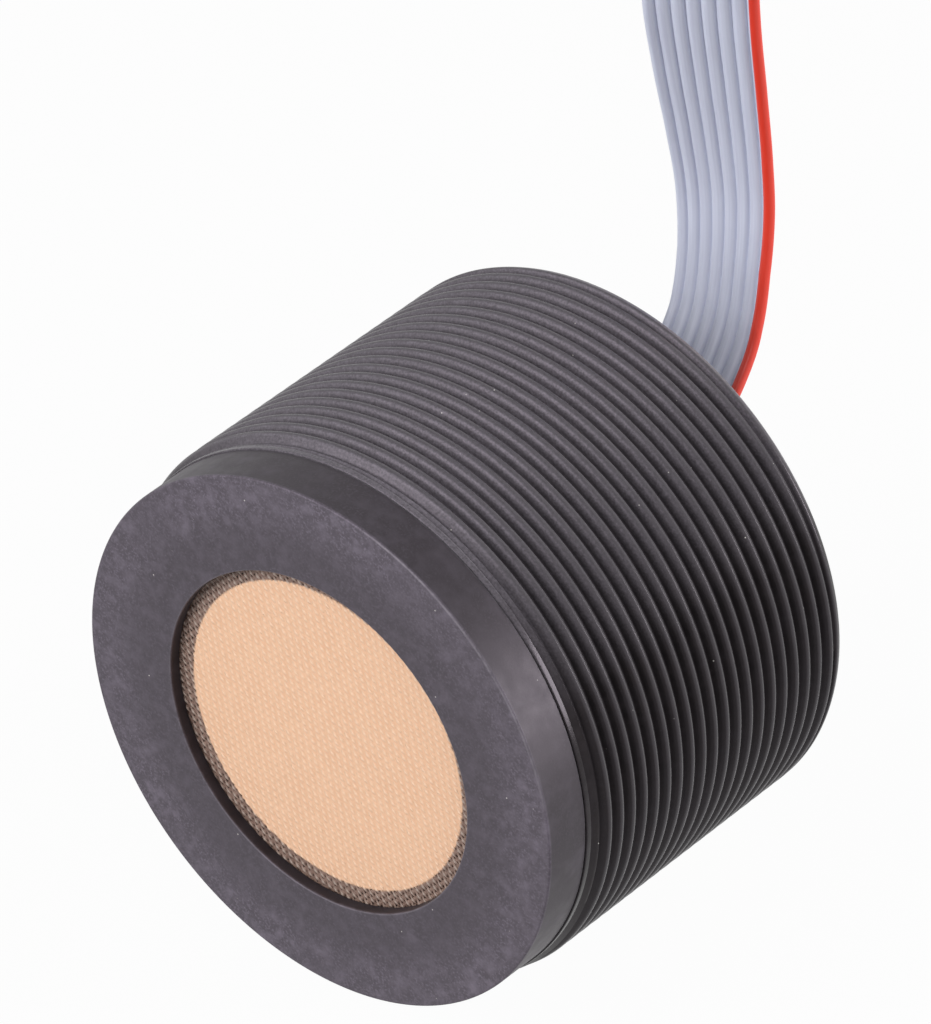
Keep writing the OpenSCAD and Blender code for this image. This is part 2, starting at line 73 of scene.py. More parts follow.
class Kind(Enum):
    """The kinds of shader node in use."""

    BACKGROUND = "ShaderNodeBackground"
    BANDS = "ShaderNodeTexWave"
    BUMP = "ShaderNodeBump"
    CARD = "ShaderNodeBsdfDiffuse"
    CELLS = "ShaderNodeTexVoronoi"
    GLOW = "ShaderNodeEmission"
    JOIN = "ShaderNodeCombineXYZ"
    MAPPING = "ShaderNodeMapping"
    MATH = "ShaderNodeMath"
    MIX = "ShaderNodeMix"
    MIX_SHADERS = "ShaderNodeMixShader"
    NOISE = "ShaderNodeTexNoise"
    OUTPUT = "ShaderNodeOutputMaterial"
    OWN_MAP = "ShaderNodeUVMap"
    PATH = "ShaderNodeLightPath"
    PLACE = "ShaderNodeTexCoord"
    RANGE = "ShaderNodeMapRange"
    ROOM = "ShaderNodeOutputWorld"
    SHADER = "ShaderNodeBsdfPrincipled"
    SPLIT = "ShaderNodeSeparateXYZ"
    VECTOR = "ShaderNodeVectorMath"


# ---- meshes ----


def grid_faces(rows: int, columns: int) -> np.ndarray:
    """Quads of an open grid whose point (i, j) has the index i * columns + j.

    Args:
        rows: number of points in the first direction.
        columns: number of points in the second direction.

    Returns:
        Array of shape (quads, 4), each quad running along j first and then along i.
    """
    i, j = np.meshgrid(np.arange(rows - 1), np.arange(columns - 1), indexing="ij")
    a = (i * columns + j).ravel()
    return np.stack([a, a + 1, a + columns + 1, a + columns], axis=1)


def turned_faces(turns: int, columns: int, seam: Seam, lag: int = 0) -> np.ndarray:
    """Quads of a grid of angles times columns that closes on itself round the axis.

    The last angle i = turns - 1 joins the first one at column j, or, on a helical seam, at
    column j - lag, because one turn moves a helical profile by one pitch of lag columns.

    Args:
        turns: number of angles.
        columns: number of columns along the profile.
        seam: how the last angle joins the first one.
        lag: columns in one pitch.

    Returns:
        Array of shape (quads, 4), facing away from the axis where the profile runs to +Y.
    """
    back = lag if seam is Seam.HELICAL else 0
    j = np.arange(back, columns - 1)
    last = (turns - 1) * columns + j
    first = j - back
    closing = np.stack([last, last + 1, first + 1, first], axis=1)
    return np.concatenate([grid_faces(turns, columns), closing])


def turned_points(radii: np.ndarray, places: np.ndarray, turns: int) -> np.ndarray:
    """Points (r cos a, y, r sin a) of a profile turned about Y, a running from +X to +Z.

    Args:
        radii: r in millimetres, one per column, or one per angle and column.
        places: y in millimetres, in the same layout.
        turns: number of angles, spread evenly from 0.

    Returns:
        Array of shape (turns * columns, 3).
    """
    a = (np.arange(turns) * 2 * np.pi / turns)[:, None]
    r = np.broadcast_to(radii, (turns, np.shape(radii)[-1]))
    y = np.broadcast_to(places, r.shape)
    return np.stack([r * np.cos(a), y, r * np.sin(a)], axis=2).reshape(-1, 3)


def eased(corners: np.ndarray, cuts: np.ndarray, steps: int = 4) -> np.ndarray:
    """A closed polygon whose corners are rounded off.

    Corner P with cut c becomes the parabola A (1 - t)^2 + 2 P t (1 - t) + B t^2, where A and B
    lie c before and behind P on its two sides, and t goes from 0 to 1.

    Args:
        corners: array of shape (n, 2), in order.
        cuts: length cut from each side of each corner.
        steps: stretches in each rounding.

    Returns:
        Array of shape (n * (steps + 1), 2).
    """
    before = np.roll(corners, 1, axis=0) - corners
    behind = np.roll(corners, -1, axis=0) - corners
    cut = np.asarray(cuts, float)[:, None]
    a = corners + before / np.linalg.norm(before, axis=1)[:, None] * cut
    b = corners + behind / np.linalg.norm(behind, axis=1)[:, None] * cut
    t = np.linspace(0, 1, steps + 1)[None, :, None]
    arc = a[:, None] * (1 - t) ** 2 + 2 * corners[:, None] * t * (1 - t) + b[:, None] * t**2
    return arc.reshape(-1, 2)


def new_object(name: str, data: bpy.types.ID) -> bpy.types.Object:
    """A new object in the scene, at the origin.

    Args:
        name: the object's name.
        data: the mesh, camera or lamp that it shows.

    Returns:
        The object.
    """
    made = bpy.data.objects.new(name, data)
    bpy.context.scene.collection.objects.link(made)
    return made


def mesh_piece(name: str, points: np.ndarray, *polygons: np.ndarray) -> bpy.types.Object:
    """A new object from points in millimetres and arrays of polygons of equal size.

    Args:
        name: the piece's name.
        points: array of shape (n, 3).
        polygons: arrays of shape (count, sides) of point indices.

    Returns:
        The object, at the origin, its points scaled to metres.
    """
    mesh = bpy.data.meshes.new(name)
    mesh.vertices.add(len(points))
    mesh.vertices.foreach_set("co", (np.asarray(points) * MM).astype(np.float32).ravel())
    loops = np.concatenate([p.ravel() for p in polygons]).astype(np.int32)
    sides = np.concatenate([np.full(len(p), p.shape[1]) for p in polygons]).astype(np.int32)
    mesh.loops.add(len(loops))
    mesh.loops.foreach_set("vertex_index", loops)
    mesh.polygons.add(len(sides))
    mesh.polygons.foreach_set("loop_start", np.cumsum(sides) - sides)
    mesh.polygons.foreach_set("use_smooth", np.ones(len(sides), bool))
    mesh.update(calc_edges=True)
    mesh.validate()
    return new_object(name, mesh)


def merged(piece: bpy.types.Object, reach: float = 0.001, recalculate: bool = False) -> None:
    """Welds a piece's doubled points and drops loose points.

    Args:
        piece: the piece.
        reach: points that lie closer than this many millimetres become one.
        recalculate: turn the faces outwards again.
    """
    work = bmesh.new()
    work.from_mesh(piece.data)
    bmesh.ops.remove_doubles(work, verts=work.verts[:], dist=reach * MM)
    loose = [v for v in work.verts if not v.link_faces]
    bmesh.ops.delete(work, geom=loose, context="VERTS")
    if recalculate:
        bmesh.ops.recalc_face_normals(work, faces=work.faces[:])
    work.to_mesh(piece.data)
    work.free()


def large_face_normals(piece: bpy.types.Object, **settings: object) -> None:
    """Smooth shading that follows the large faces, by a modifier.

    Args:
        piece: the piece.
        settings: the modifier's own properties.
    """
    piece.data.polygons.foreach_set("use_smooth", np.ones(len(piece.data.polygons), bool))
    weigh = piece.modifiers.new("even_shading", "WEIGHTED_NORMAL")
    weigh.mode = "FACE_AREA"
    for name, value in settings.items():
        setattr(weigh, name, value)


def even_shading(piece: bpy.types.Object, sharp_deg: float) -> None:
    """Shading that follows the large faces, with creases past an angle in degrees."""
    large_face_normals(piece, keep_sharp=True)
    piece.data.set_sharp_from_angle(angle=math.radians(sharp_deg))


def turned_ring(name: str, line: np.ndarray, turns: int) -> bpy.types.Object:
    """A ring: a closed section turned about Y, welded and shaded.

    Args:
        name: the piece's name.
        line: array of shape (n, 2) of radii and places in millimetres, in order round the section.
        turns: number of angles.

    Returns:
        The piece.
    """
    m = len(line)
    ends = np.arange(turns) * m
    following = np.roll(ends, -1)
    closing = np.stack([ends + m - 1, ends, following, following + m - 1], axis=1)
    points = turned_points(line[:, 0], line[:, 1], turns)
    piece = mesh_piece(name, points, turned_faces(turns, m, Seam.PLAIN), closing)
    merged(piece)
    even_shading(piece, 40)
    return piece


def eased_copy(node: str, name: str, width: float, segments: int = 2) -> bpy.types.Object:
    """A copy of a CAD node, merged, with its edges bevelled.

    Args:
        node: the CAD node.
        name: the new piece's name.
        width: width of the bevel in millimetres.
        segments: segments in the bevel.

    Returns:
        The new piece.
    """
    piece = new_object(name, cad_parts[node].data.copy())
    piece.data.materials.clear()
    merged(piece, 0.002)
    work = bmesh.new()
    work.from_mesh(piece.data)
    flat = math.radians(1)
    bmesh.ops.dissolve_limit(work, angle_limit=flat, verts=work.verts[:], edges=work.edges[:])
    work.to_mesh(piece.data)
    work.free()
    bevel = piece.modifiers.new("eased_edges", "BEVEL")
    bevel.width = width * MM
    bevel.segments = segments
    bevel.limit_method = "ANGLE"
    bevel.angle_limit = math.radians(40)
    large_face_normals(piece, weight=100)
    return piece


# ---- materials ----


def linear(colour: str) -> Colour:
    """A colour for the shaders.

    Args:
        colour: sRGB hex, such as #4a484e.

    Returns:
        The same colour as linear RGBA.
    """
    parts = [int(colour.lstrip("#")[k : k + 2], 16) / 255 for k in (0, 2, 4)]
    r, g, b = (c / 12.92 if c <= 0.04045 else ((c + 0.055) / 1.055) ** 2.4 for c in parts)
    return (r, g, b, 1.0)


def per_metre(size_mm: float) -> float:
    """Texture scale whose features are about that many millimetres, on Object coordinates."""
    return 1.0 / (size_mm * MM)


def add_node(
    tree: bpy.types.NodeTree, kind: Kind, inputs: Inputs | None = None, **settings: object
) -> bpy.types.Node:
    """Adds a node with its settings and links.

    Args:
        tree: the node tree.
        kind: the kind of node.
        inputs: what goes into each input, by name or number: a value to set, a socket to link,
            or a node, whose first working output is linked.
        settings: the node's own properties.

    Returns:
        The node.
    """
    item = tree.nodes.new(kind.value)
    for name, value in settings.items():
        setattr(item, name, value)
    for name, value in (inputs or {}).items():
        if isinstance(value, bpy.types.Node):
            value = next(out for out in value.outputs if out.enabled)
        if isinstance(value, bpy.types.NodeSocket):
            tree.links.new(value, item.inputs[name])
        else:
            item.inputs[name].default_value = value
    return item


def from_axis(
    tree: bpy.types.NodeTree, at: bpy.types.NodeSocket
) -> tuple[bpy.types.NodeOutputs, bpy.types.Node]:
    """The parts of a place, and its distance from the housing's axis.

    Args:
        tree: the node tree.
        at: the place in metres.

    Returns:
        The outputs x, y and z, and the node that gives the distance.
    """
    axes = add_node(tree, Kind.SPLIT, {0: at}).outputs
    across = add_node(tree, Kind.JOIN, {0: axes[0], 2: axes[2]})
    return axes, add_node(tree, Kind.VECTOR, {0: across}, operation="LENGTH")


def empty_tree(owner: bpy.types.Material | bpy.types.World) -> bpy.types.NodeTree:
    """Switches shader nodes on and removes the ones that they start with.

    Args:
        owner: the material or world.

    Returns:
        Its node tree.
    """
    owner.use_nodes = True
    owner.node_tree.nodes.clear()
    return owner.node_tree


@dataclass(frozen=True)
class Finish:
    """A surface by what it is made of: two tones in soft patches, a gloss and a fine grain.

    The tones, dark and light, are sRGB hex, as is gloss_tint, which colours the gloss of what is
    not metal. spread is how far the roughness wanders with the patches.
    """

    name: str
    dark: str
    light: str
    patch_mm: float = 1.5
    roughness: float = 0.5
    spread: float = 0.08
    metallic: float = 0.0
    ior: float = 1.5
    gloss_tint: str = "#ffffff"
    grain_mm: float = 0.15
    grain_depth_mm: float = 0.004

    def material(self) -> bpy.types.Material:
        """Makes the material, once.

        Returns:
            The material, or the one made before under the same name.
        """
        known = bpy.data.materials.get(self.name)
        if known:
            return known
        made = bpy.data.materials.new(self.name)
        tree = empty_tree(made)
        inputs = {"Metallic": self.metallic, **self.surface(tree)}
        if not self.metallic:
            inputs.update({"IOR": self.ior, "Specular Tint": linear(self.gloss_tint)})
        shader = add_node(tree, Kind.SHADER, inputs)
        add_node(tree, Kind.OUTPUT, {"Surface": shader})
        return made

    def surface(self, tree: bpy.types.NodeTree) -> Inputs:
        """Two tones in patches, the same patches in the gloss, and the grain.

        Args:
            tree: the material's node tree.

        Returns:
            What goes into the shader's colour, roughness and normal.
        """
        add = partial(add_node, tree)
        at = add(Kind.PLACE).outputs["Object"]
        patches = add(Kind.NOISE, {"Vector": at, "Scale": per_metre(self.patch_mm), "Detail": 4.0})
        share = add(Kind.RANGE, {0: patches, 1: 0.32, 2: 0.68})
        inputs = {0: share, 6: linear(self.dark), 7: linear(self.light)}
        colour = add(Kind.MIX, inputs, data_type="RGBA")
        dull, bright = self.roughness + self.spread, self.roughness - self.spread
        gloss = add(Kind.RANGE, {0: patches, 1: 0.3, 2: 0.7, 3: bright, 4: dull})
        grain = add(Kind.NOISE, {"Vector": at, "Scale": per_metre(self.grain_mm), "Detail": 2.0})
        inputs = {"Height": grain, "Distance": self.grain_depth_mm * MM, "Strength": 1.0}
        return {"Base Color": colour, "Roughness": gloss, "Normal": add(Kind.BUMP, inputs)}


@dataclass(frozen=True)
class WearAndHighlightRing:
    """A line of wear and painted highlight round the axis: radius, place on the axis, width,
    strength, arc.
    """

    r: float
    y: float
    width: float
    strength: float
    start_deg: float = -180.0
    end_deg: float = 180.0


@dataclass(frozen=True)
class HandledNylon(Finish):
    """Glass-filled nylon, handled: near black under a thin grey dust, its edges rubbed lighter.

    Dust lies in soft blotches and fine specks everywhere. On what is high up it lies evenly, and
    there the grey is also painted light on the upper side. Behind root_y it thins out below crest_r
    down to root_r, except at the very top: painted shade in the grooves. A face in front of hazed_y
    has a haze. The crests beyond crest_r are rubbed and shinier, where a nut has run over them,
    their lighter tone partly a painted highlight, and the land in front of smooth_y, which is
    turned, is shinier too. Some of the lighter edge lines are painted highlights.
    """

    wear_and_highlight_rings: tuple[WearAndHighlightRing, ...] = ()
    dust_and_light_tone: str = "#8b8291"
    dust_share: float = 0.1
    speck_mm: float = 0.2
    blotch_mm: float = 1.3
    drift_mm: float = 7.0
    top_dust_and_light_share: float = 0.0
    top_dust_and_light_z: tuple[float, float] = (6.0, 22.0)
    upper_z: tuple[float, float] = (20.5, 24.6)
    upper_share: float = 0.65
    root_r: float | None = None
    root_share: float = 0.15
    root_y: float = 0.0
    lead_half: float = 0.4
    lead_share: float = 0.8
    hazed_y: float | None = None
    haze_share: float = 0.3
    haze_r: tuple[float, float] = (18.5, 21.5)
    band_share: float = 0.3
    rubbed_and_highlight: str = "#8b878d"
    crest_r: float | None = None
    crest_rub_and_highlight_share: float = 0.1
    crest_roughness: float = 0.33
    crest_dust_and_light: float = 0.32
    smooth_y: float | None = None
    smooth_roughness: float = 0.22
    grit: str = "#d5d1cc"
    grit_mm: float = 2.2

    def dust_and_painted_light(self, tree: bpy.types.NodeTree, at: bpy.types.NodeSocket) -> bpy.types.Node:
        """The share of dust and painted light from 0 to 1, in blotches and specks that drift in
        density.

        The specks are really 0.05 mm, too fine to show, so they are drawn four times as coarse.

        Args:
            tree: the material's node tree.
            at: the place in metres.

        Returns:
            The node that gives the share.
        """
        add = partial(add_node, tree)
        axes, length = from_axis(tree, at)
        fine = add(Kind.NOISE, {"Vector": at, "Scale": per_metre(self.speck_mm), "Detail": 2.0})
        specks = add(Kind.RANGE, {0: fine, 1: 0.5, 2: 0.8})
        soft = add(Kind.NOISE, {"Vector": at, "Scale": per_metre(self.blotch_mm), "Detail": 8.0})
        blotches = add(Kind.RANGE, {0: soft, 1: 0.46, 2: 0.72})
        wide = add(Kind.NOISE, {"Vector": at, "Scale": per_metre(self.drift_mm), "Detail": 2.0})
        inputs = {0: wide, 1: 0.35, 2: 0.65, 3: 0.4 * self.dust_share, 4: self.dust_share}
        drift = add(Kind.RANGE, inputs)
        either = add(Kind.MATH, {0: specks, 1: blotches}, operation="MAXIMUM")
        total = add(Kind.MATH, {0: either, 1: drift}, operation="MULTIPLY")
        if self.top_dust_and_light_share:
            # Grey that rises with height: dust settled on top, and painted light on the upper side
            low, high = (z * MM for z in self.top_dust_and_light_z)
            inputs = {0: axes[2], 1: low, 2: high, 3: 0.0, 4: self.top_dust_and_light_share}
            top_dust_and_light = add(Kind.RANGE, inputs)
            # Painted shade in the grooves: the grey thins from the crest down to root_r, except in
            # front of root_y and at the very top, where the grooves are painted lit
            if self.root_r is not None:
                low, high = self.root_r * MM, (self.crest_r - 0.1) * MM
                rise = add(Kind.RANGE, {0: length, 1: low, 2: high, 3: self.root_share})
                low, high = ((self.root_y + s * self.lead_half) * MM for s in (-1, 1))
                lead = add(Kind.RANGE, {0: axes[1], 1: low, 2: high, 3: self.lead_share, 4: 0.0})
                low, high = (z * MM for z in self.upper_z)
                upper = add(Kind.RANGE, {0: axes[2], 1: low, 2: high, 3: 0.0, 4: self.upper_share})
                for unshaded in (lead, upper):
                    rise = add(Kind.MATH, {0: rise, 1: unshaded}, operation="MAXIMUM")
                top_dust_and_light = add(Kind.MATH, {0: top_dust_and_light, 1: rise}, operation="MULTIPLY")
            grainy = add(Kind.RANGE, {0: fine, 1: 0.3, 2: 0.7, 3: 0.65, 4: 1.35})
            inputs = {0: top_dust_and_light, 1: grainy, 2: total}
            total = add(Kind.MATH, inputs, operation="MULTIPLY_ADD", use_clamp=True)
        if self.hazed_y is not None:
            low, high = (self.hazed_y + 0.1) * MM, (self.hazed_y + 0.3) * MM
            front = add(Kind.RANGE, {0: axes[1], 1: low, 2: high, 3: 1.0, 4: self.band_share})
            total = add(Kind.MATH, {0: total, 1: front}, operation="MULTIPLY")
            inputs = {0: front, 1: self.band_share, 2: 1.0, 3: 0.0, 4: self.haze_share}
            front = add(Kind.RANGE, inputs)
            low, high = (r * MM for r in self.haze_r)
            outward = add(Kind.RANGE, {0: length, 1: low, 2: high, 3: 0.5, 4: 1.0})
            total = add(Kind.MATH, {0: total, 1: outward}, operation="MULTIPLY")
            haze = add(Kind.RANGE, {0: outward, 1: 0.5, 2: 1.0, 3: 0.7, 4: 1.15})
            haze = add(Kind.MATH, {0: haze, 1: front}, operation="MULTIPLY")
            grainy = add(Kind.RANGE, {0: fine, 1: 0.3, 2: 0.7, 3: 0.75, 4: 1.25})
            inputs = {0: haze, 1: grainy, 2: total}
            total = add(Kind.MATH, inputs, operation="MULTIPLY_ADD", use_clamp=True)
        return total

    def rubbing_and_highlight(
        self, tree: bpy.types.NodeTree, at: bpy.types.NodeSocket
    ) -> bpy.types.Node | float:
        """From 0 to 1 near the rings of wear and painted highlight.

        It is the largest over the rings of strength times (1 - distance / width), the distance
        being that of (r, y) from the ring's own, times the ring's arc and a broken-up noise.

        Args:
            tree: the material's node tree.
            at: the place in metres.

        Returns:
            The node that gives the share, or 0 with no rings.
        """
        add = partial(add_node, tree)
        axes, length = from_axis(tree, at)
        section = add(Kind.JOIN, {0: length, 1: axes[1]})
        angle = add(Kind.MATH, {0: axes[2], 1: axes[0]}, operation="ARCTAN2")
        coarse = add(Kind.NOISE, {"Vector": at, "Scale": per_metre(0.7), "Detail": 5.0})
        broken = add(Kind.RANGE, {0: coarse, 1: 0.3, 2: 0.62, 3: 0.25, 4: 1.0})
        total: bpy.types.Node | float = 0.0
        for ring in self.wear_and_highlight_rings:
            inputs = {0: section, 1: (ring.r * MM, ring.y * MM, 0.0)}
            away = add(Kind.VECTOR, inputs, operation="DISTANCE")
            width = ring.width * MM
            near = add(Kind.RANGE, {0: away, 1: 0.25 * width, 2: width, 3: ring.strength, 4: 0.0})
            if ring.end_deg - ring.start_deg < 360:
                start, end, ease = (math.radians(d) for d in (ring.start_deg, ring.end_deg, 6))
                opened = add(Kind.RANGE, {0: angle, 1: start, 2: start + ease})
                closed = add(Kind.RANGE, {0: angle, 1: end - ease, 2: end, 3: 1.0, 4: 0.0})
                arc = add(Kind.MATH, {0: opened, 1: closed}, operation="MULTIPLY")
                near = add(Kind.MATH, {0: near, 1: arc}, operation="MULTIPLY")
            near = add(Kind.MATH, {0: near, 1: broken}, operation="MULTIPLY")
            total = add(Kind.MATH, {0: near, 1: total}, operation="MAXIMUM")
        return total

    def surface(self, tree: bpy.types.NodeTree) -> Inputs:
        """Dust with painted top light and groove shade, rubbed rings and crests that are partly
        painted highlights, a turned land and grit over the plain finish.

        Args:
            tree: the material's node tree.

        Returns:
            What goes into the shader's colour, roughness and normal.
        """
        made = super().surface(tree)
        add = partial(add_node, tree)
        at = add(Kind.PLACE).outputs["Object"]
        axes, length = from_axis(tree, at)
        colour, gloss = made["Base Color"], made["Roughness"]
        dust_and_light = self.dust_and_painted_light(tree, at)
        layers = [(self.rubbing_and_highlight(tree, at), self.rubbed_and_highlight)]
        # Crests: less dust, and a lighter rubbed tone that is partly a painted highlight, with more
        # gloss
        if self.crest_r is not None:
            low, high = (self.crest_r - 0.13) * MM, (self.crest_r - 0.02) * MM
            crest = add(Kind.RANGE, {0: length, 1: low, 2: high})
            clean = add(Kind.RANGE, {0: crest, 3: 1.0, 4: self.crest_dust_and_light})
            dust_and_light = add(Kind.MATH, {0: dust_and_light, 1: clean}, operation="MULTIPLY")
            share = add(Kind.MATH, {0: crest, 1: self.crest_rub_and_highlight_share}, operation="MULTIPLY")
            layers.append((share, self.rubbed_and_highlight))
            inputs = {0: crest, 2: gloss, 3: self.crest_roughness}
            gloss = add(Kind.MIX, inputs, data_type="FLOAT")
        if self.smooth_y is not None:
            low, high = self.smooth_y * MM, (self.smooth_y + 0.1) * MM
            land = add(Kind.RANGE, {0: axes[1], 1: low, 2: high, 3: 1.0, 4: 0.0})
            inputs = {0: land, 2: gloss, 3: self.smooth_roughness}
            gloss = add(Kind.MIX, inputs, data_type="FLOAT")
        cells = add(Kind.CELLS, {"Vector": at, "Scale": per_metre(self.grit_mm)})
        grains = add(Kind.RANGE, {0: cells, 1: 0.018, 2: 0.034, 3: 0.8, 4: 0.0})
        for share, tone in ((dust_and_light, self.dust_and_light_tone), *layers, (grains, self.grit)):
            inputs = {0: share, 6: colour, 7: linear(tone)}
            colour = add(Kind.MIX, inputs, data_type="RGBA")
        return {**made, "Base Color": colour, "Roughness": gloss}


@dataclass(frozen=True)
class ClearFilament(Finish):
    """Drawn nylon filament, woven: nearly clear, so it takes on the tone of what lies behind it.

    Inside tone_r it lies in the tan matching layer and reads tan. Outside, over the dark gap, it
    reads brown. Both are paler where a filament rises to the front: a painted highlight on each
    crossing, and painted shade where it dips.
    """

    tone_r: float = 14.15
    over_tan: tuple[str, str] = ("#dfb798", "#f3d0b4")
    painted_crossing_light: str = "#ab9a90"
    painted_crossing_light_y: tuple[float, float] = (-5.075, -5.135)

    def surface(self, tree: bpy.types.NodeTree) -> Inputs:
        """Tan inside tone_r, brown outside, and paler in front as a painted highlight.

        Args:
            tree: the material's node tree.

        Returns:
            What goes into the shader's colour, roughness and normal.
        """
        made = super().surface(tree)
        add = partial(add_node, tree)
        axes, length = from_axis(tree, add(Kind.PLACE).outputs["Object"])
        low, high = (self.tone_r - 0.12) * MM, (self.tone_r + 0.1) * MM
        inside = add(Kind.RANGE, {0: length, 1: low, 2: high, 3: 1.0, 4: 0.0})
        # Painted highlight where a filament rises to the front, painted shade where it dips
        low, high = (y * MM for y in self.painted_crossing_light_y)
        front = add(Kind.RANGE, {0: axes[1], 1: low, 2: high})
        inputs = {0: front, 6: made["Base Color"], 7: linear(self.painted_crossing_light)}
        gap = add(Kind.MIX, inputs, data_type="RGBA")
        inputs = {0: front, 6: linear(self.over_tan[0]), 7: linear(self.over_tan[1])}
        tan = add(Kind.MIX, inputs, data_type="RGBA")
        colour = add(Kind.MIX, {0: inside, 6: gap, 7: tan}, data_type="RGBA")
        return {**made, "Base Color": colour}


@dataclass(frozen=True)
class RibbonVinyl(Finish):
    """Extruded soft vinyl on a ribbon lead: satin blue grey ribs, the last conductor red.

    It reads the ribbon's own UV map, u across the width from 0 to 1 and v along it in metres.
    """

    red: str = "#dc3a28"
    red_from: float = 0.912

    def surface(self, tree: bpy.types.NodeTree) -> Inputs:
        """Faint lengthwise streaks in the grey, and red past red_from.

        Args:
            tree: the material's node tree.

        Returns:
            What goes into the shader's colour, roughness and normal.
        """
        made = super().surface(tree)
        add = partial(add_node, tree)
        flat = add(Kind.OWN_MAP, uv_map="ribbon")
        stretched = add(Kind.MAPPING, {"Vector": flat, "Scale": (40.0, 60.0, 1.0)})
        streaks = add(Kind.NOISE, {"Vector": stretched, "Scale": 1.0, "Detail": 3.0})
        share = add(Kind.RANGE, {0: streaks, 1: 0.3, 2: 0.7})
        inputs = {0: share, 6: linear(self.dark), 7: linear(self.light)}
        grey = add(Kind.MIX, inputs, data_type="RGBA")
        across = add(Kind.SPLIT, {0: flat}).outputs[0]
        low, high = self.red_from - 0.004, self.red_from + 0.004
        edge = add(Kind.RANGE, {0: across, 1: low, 2: high})
        colour = add(Kind.MIX, {0: edge, 6: grey, 7: linear(self.red)}, data_type="RGBA")
        return {**made, "Base Color": colour}


@dataclass(frozen=True)
class WoundWire(Finish):
    """Enamelled copper wound in layers: fine turns, a painted highlight along each, painted shade
    between.
    """

    turn_mm: float = 0.2

    def surface(self, tree: bpy.types.NodeTree) -> Inputs:
        """Bands across the axis, one a turn, in height, and in colour as painted highlight and
        shade.

        Args:
            tree: the material's node tree.

        Returns:
            What goes into the shader's colour, roughness and normal.
        """
        add = partial(add_node, tree)
        at = add(Kind.PLACE).outputs["Object"]
        scale = per_metre(self.turn_mm) / BAND_TURN
        inputs = {"Vector": at, "Scale": scale, "Distortion": 0.4, "Detail": 1.0}
        turns = add(Kind.BANDS, inputs, bands_direction="Y")
        share = add(Kind.RANGE, {0: turns, 1: 0.1, 2: 0.6})
        inputs = {0: share, 6: linear(self.dark), 7: linear(self.light)}
        colour = add(Kind.MIX, inputs, data_type="RGBA")
        bump = add(Kind.BUMP, {"Height": turns, "Distance": 0.05 * MM, "Strength": 1.0})
        return {"Base Color": colour, "Roughness": self.roughness, "Normal": bump}


@dataclass(frozen=True)
class MaskedBoard(Finish):
    """Glass-epoxy board under solder mask: glossy green, with the cloth's weave just showing."""

    weave_mm: float = 0.5
    track_mm: float = 4.0

    def surface(self, tree: bpy.types.NodeTree) -> Inputs:
        """A fine square weave in the height and the gloss, and patches of track underneath.

        Args:
            tree: the material's node tree.

        Returns:
            What goes into the shader's colour, roughness and normal.
        """
        add = partial(add_node, tree)
        at = add(Kind.PLACE).outputs["Object"]
        inputs = {"Vector": at, "Scale": per_metre(self.weave_mm) / BAND_TURN}
        bands = [add(Kind.BANDS, inputs, bands_direction=way) for way in ("X", "Z")]
        weave = add(Kind.MATH, {0: bands[0], 1: bands[1]}, operation="MULTIPLY")
        inputs = {"Vector": at, "Scale": per_metre(self.track_mm)}
        cells = add(Kind.CELLS, inputs, distance="MANHATTAN")
        track = add(Kind.RANGE, {0: cells, 1: 0.25, 2: 0.3})
        inputs = {0: track, 6: linear(self.light), 7: linear(self.dark)}
        colour = add(Kind.MIX, inputs, data_type="RGBA")
        dull, bright = self.roughness + self.spread, self.roughness - self.spread
        gloss = add(Kind.RANGE, {0: weave, 3: bright, 4: dull})
        bump = add(Kind.BUMP, {"Height": weave, "Distance": 0.01 * MM, "Strength": 1.0})
        return {"Base Color": colour, "Roughness": gloss, "Normal": bump}


def dressed(piece: bpy.types.Object, finish: Finish) -> bpy.types.Object:
    """Puts a finish on a piece as its only material.

    Args:
        piece: the piece, or a carried-over CAD node.
        finish: its finish.

    Returns:
        The piece.
    """
    piece.data.materials.clear()
    piece.data.materials.append(finish.material())
    return piece


def placed(
    piece: bpy.types.Object, node: str, finish: Finish
) -> bpy.types.Object:
    """Dresses a new piece and puts it in the place of a CAD node, on the root body.

    Args:
        piece: the piece.
        node: the CAD node that it stands for.
        finish: its finish.

    Returns:
        The piece.
    """
    dressed(piece, finish)
    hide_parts(node)
    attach(piece, ROOT)
    return piece


# ---- the studio ----


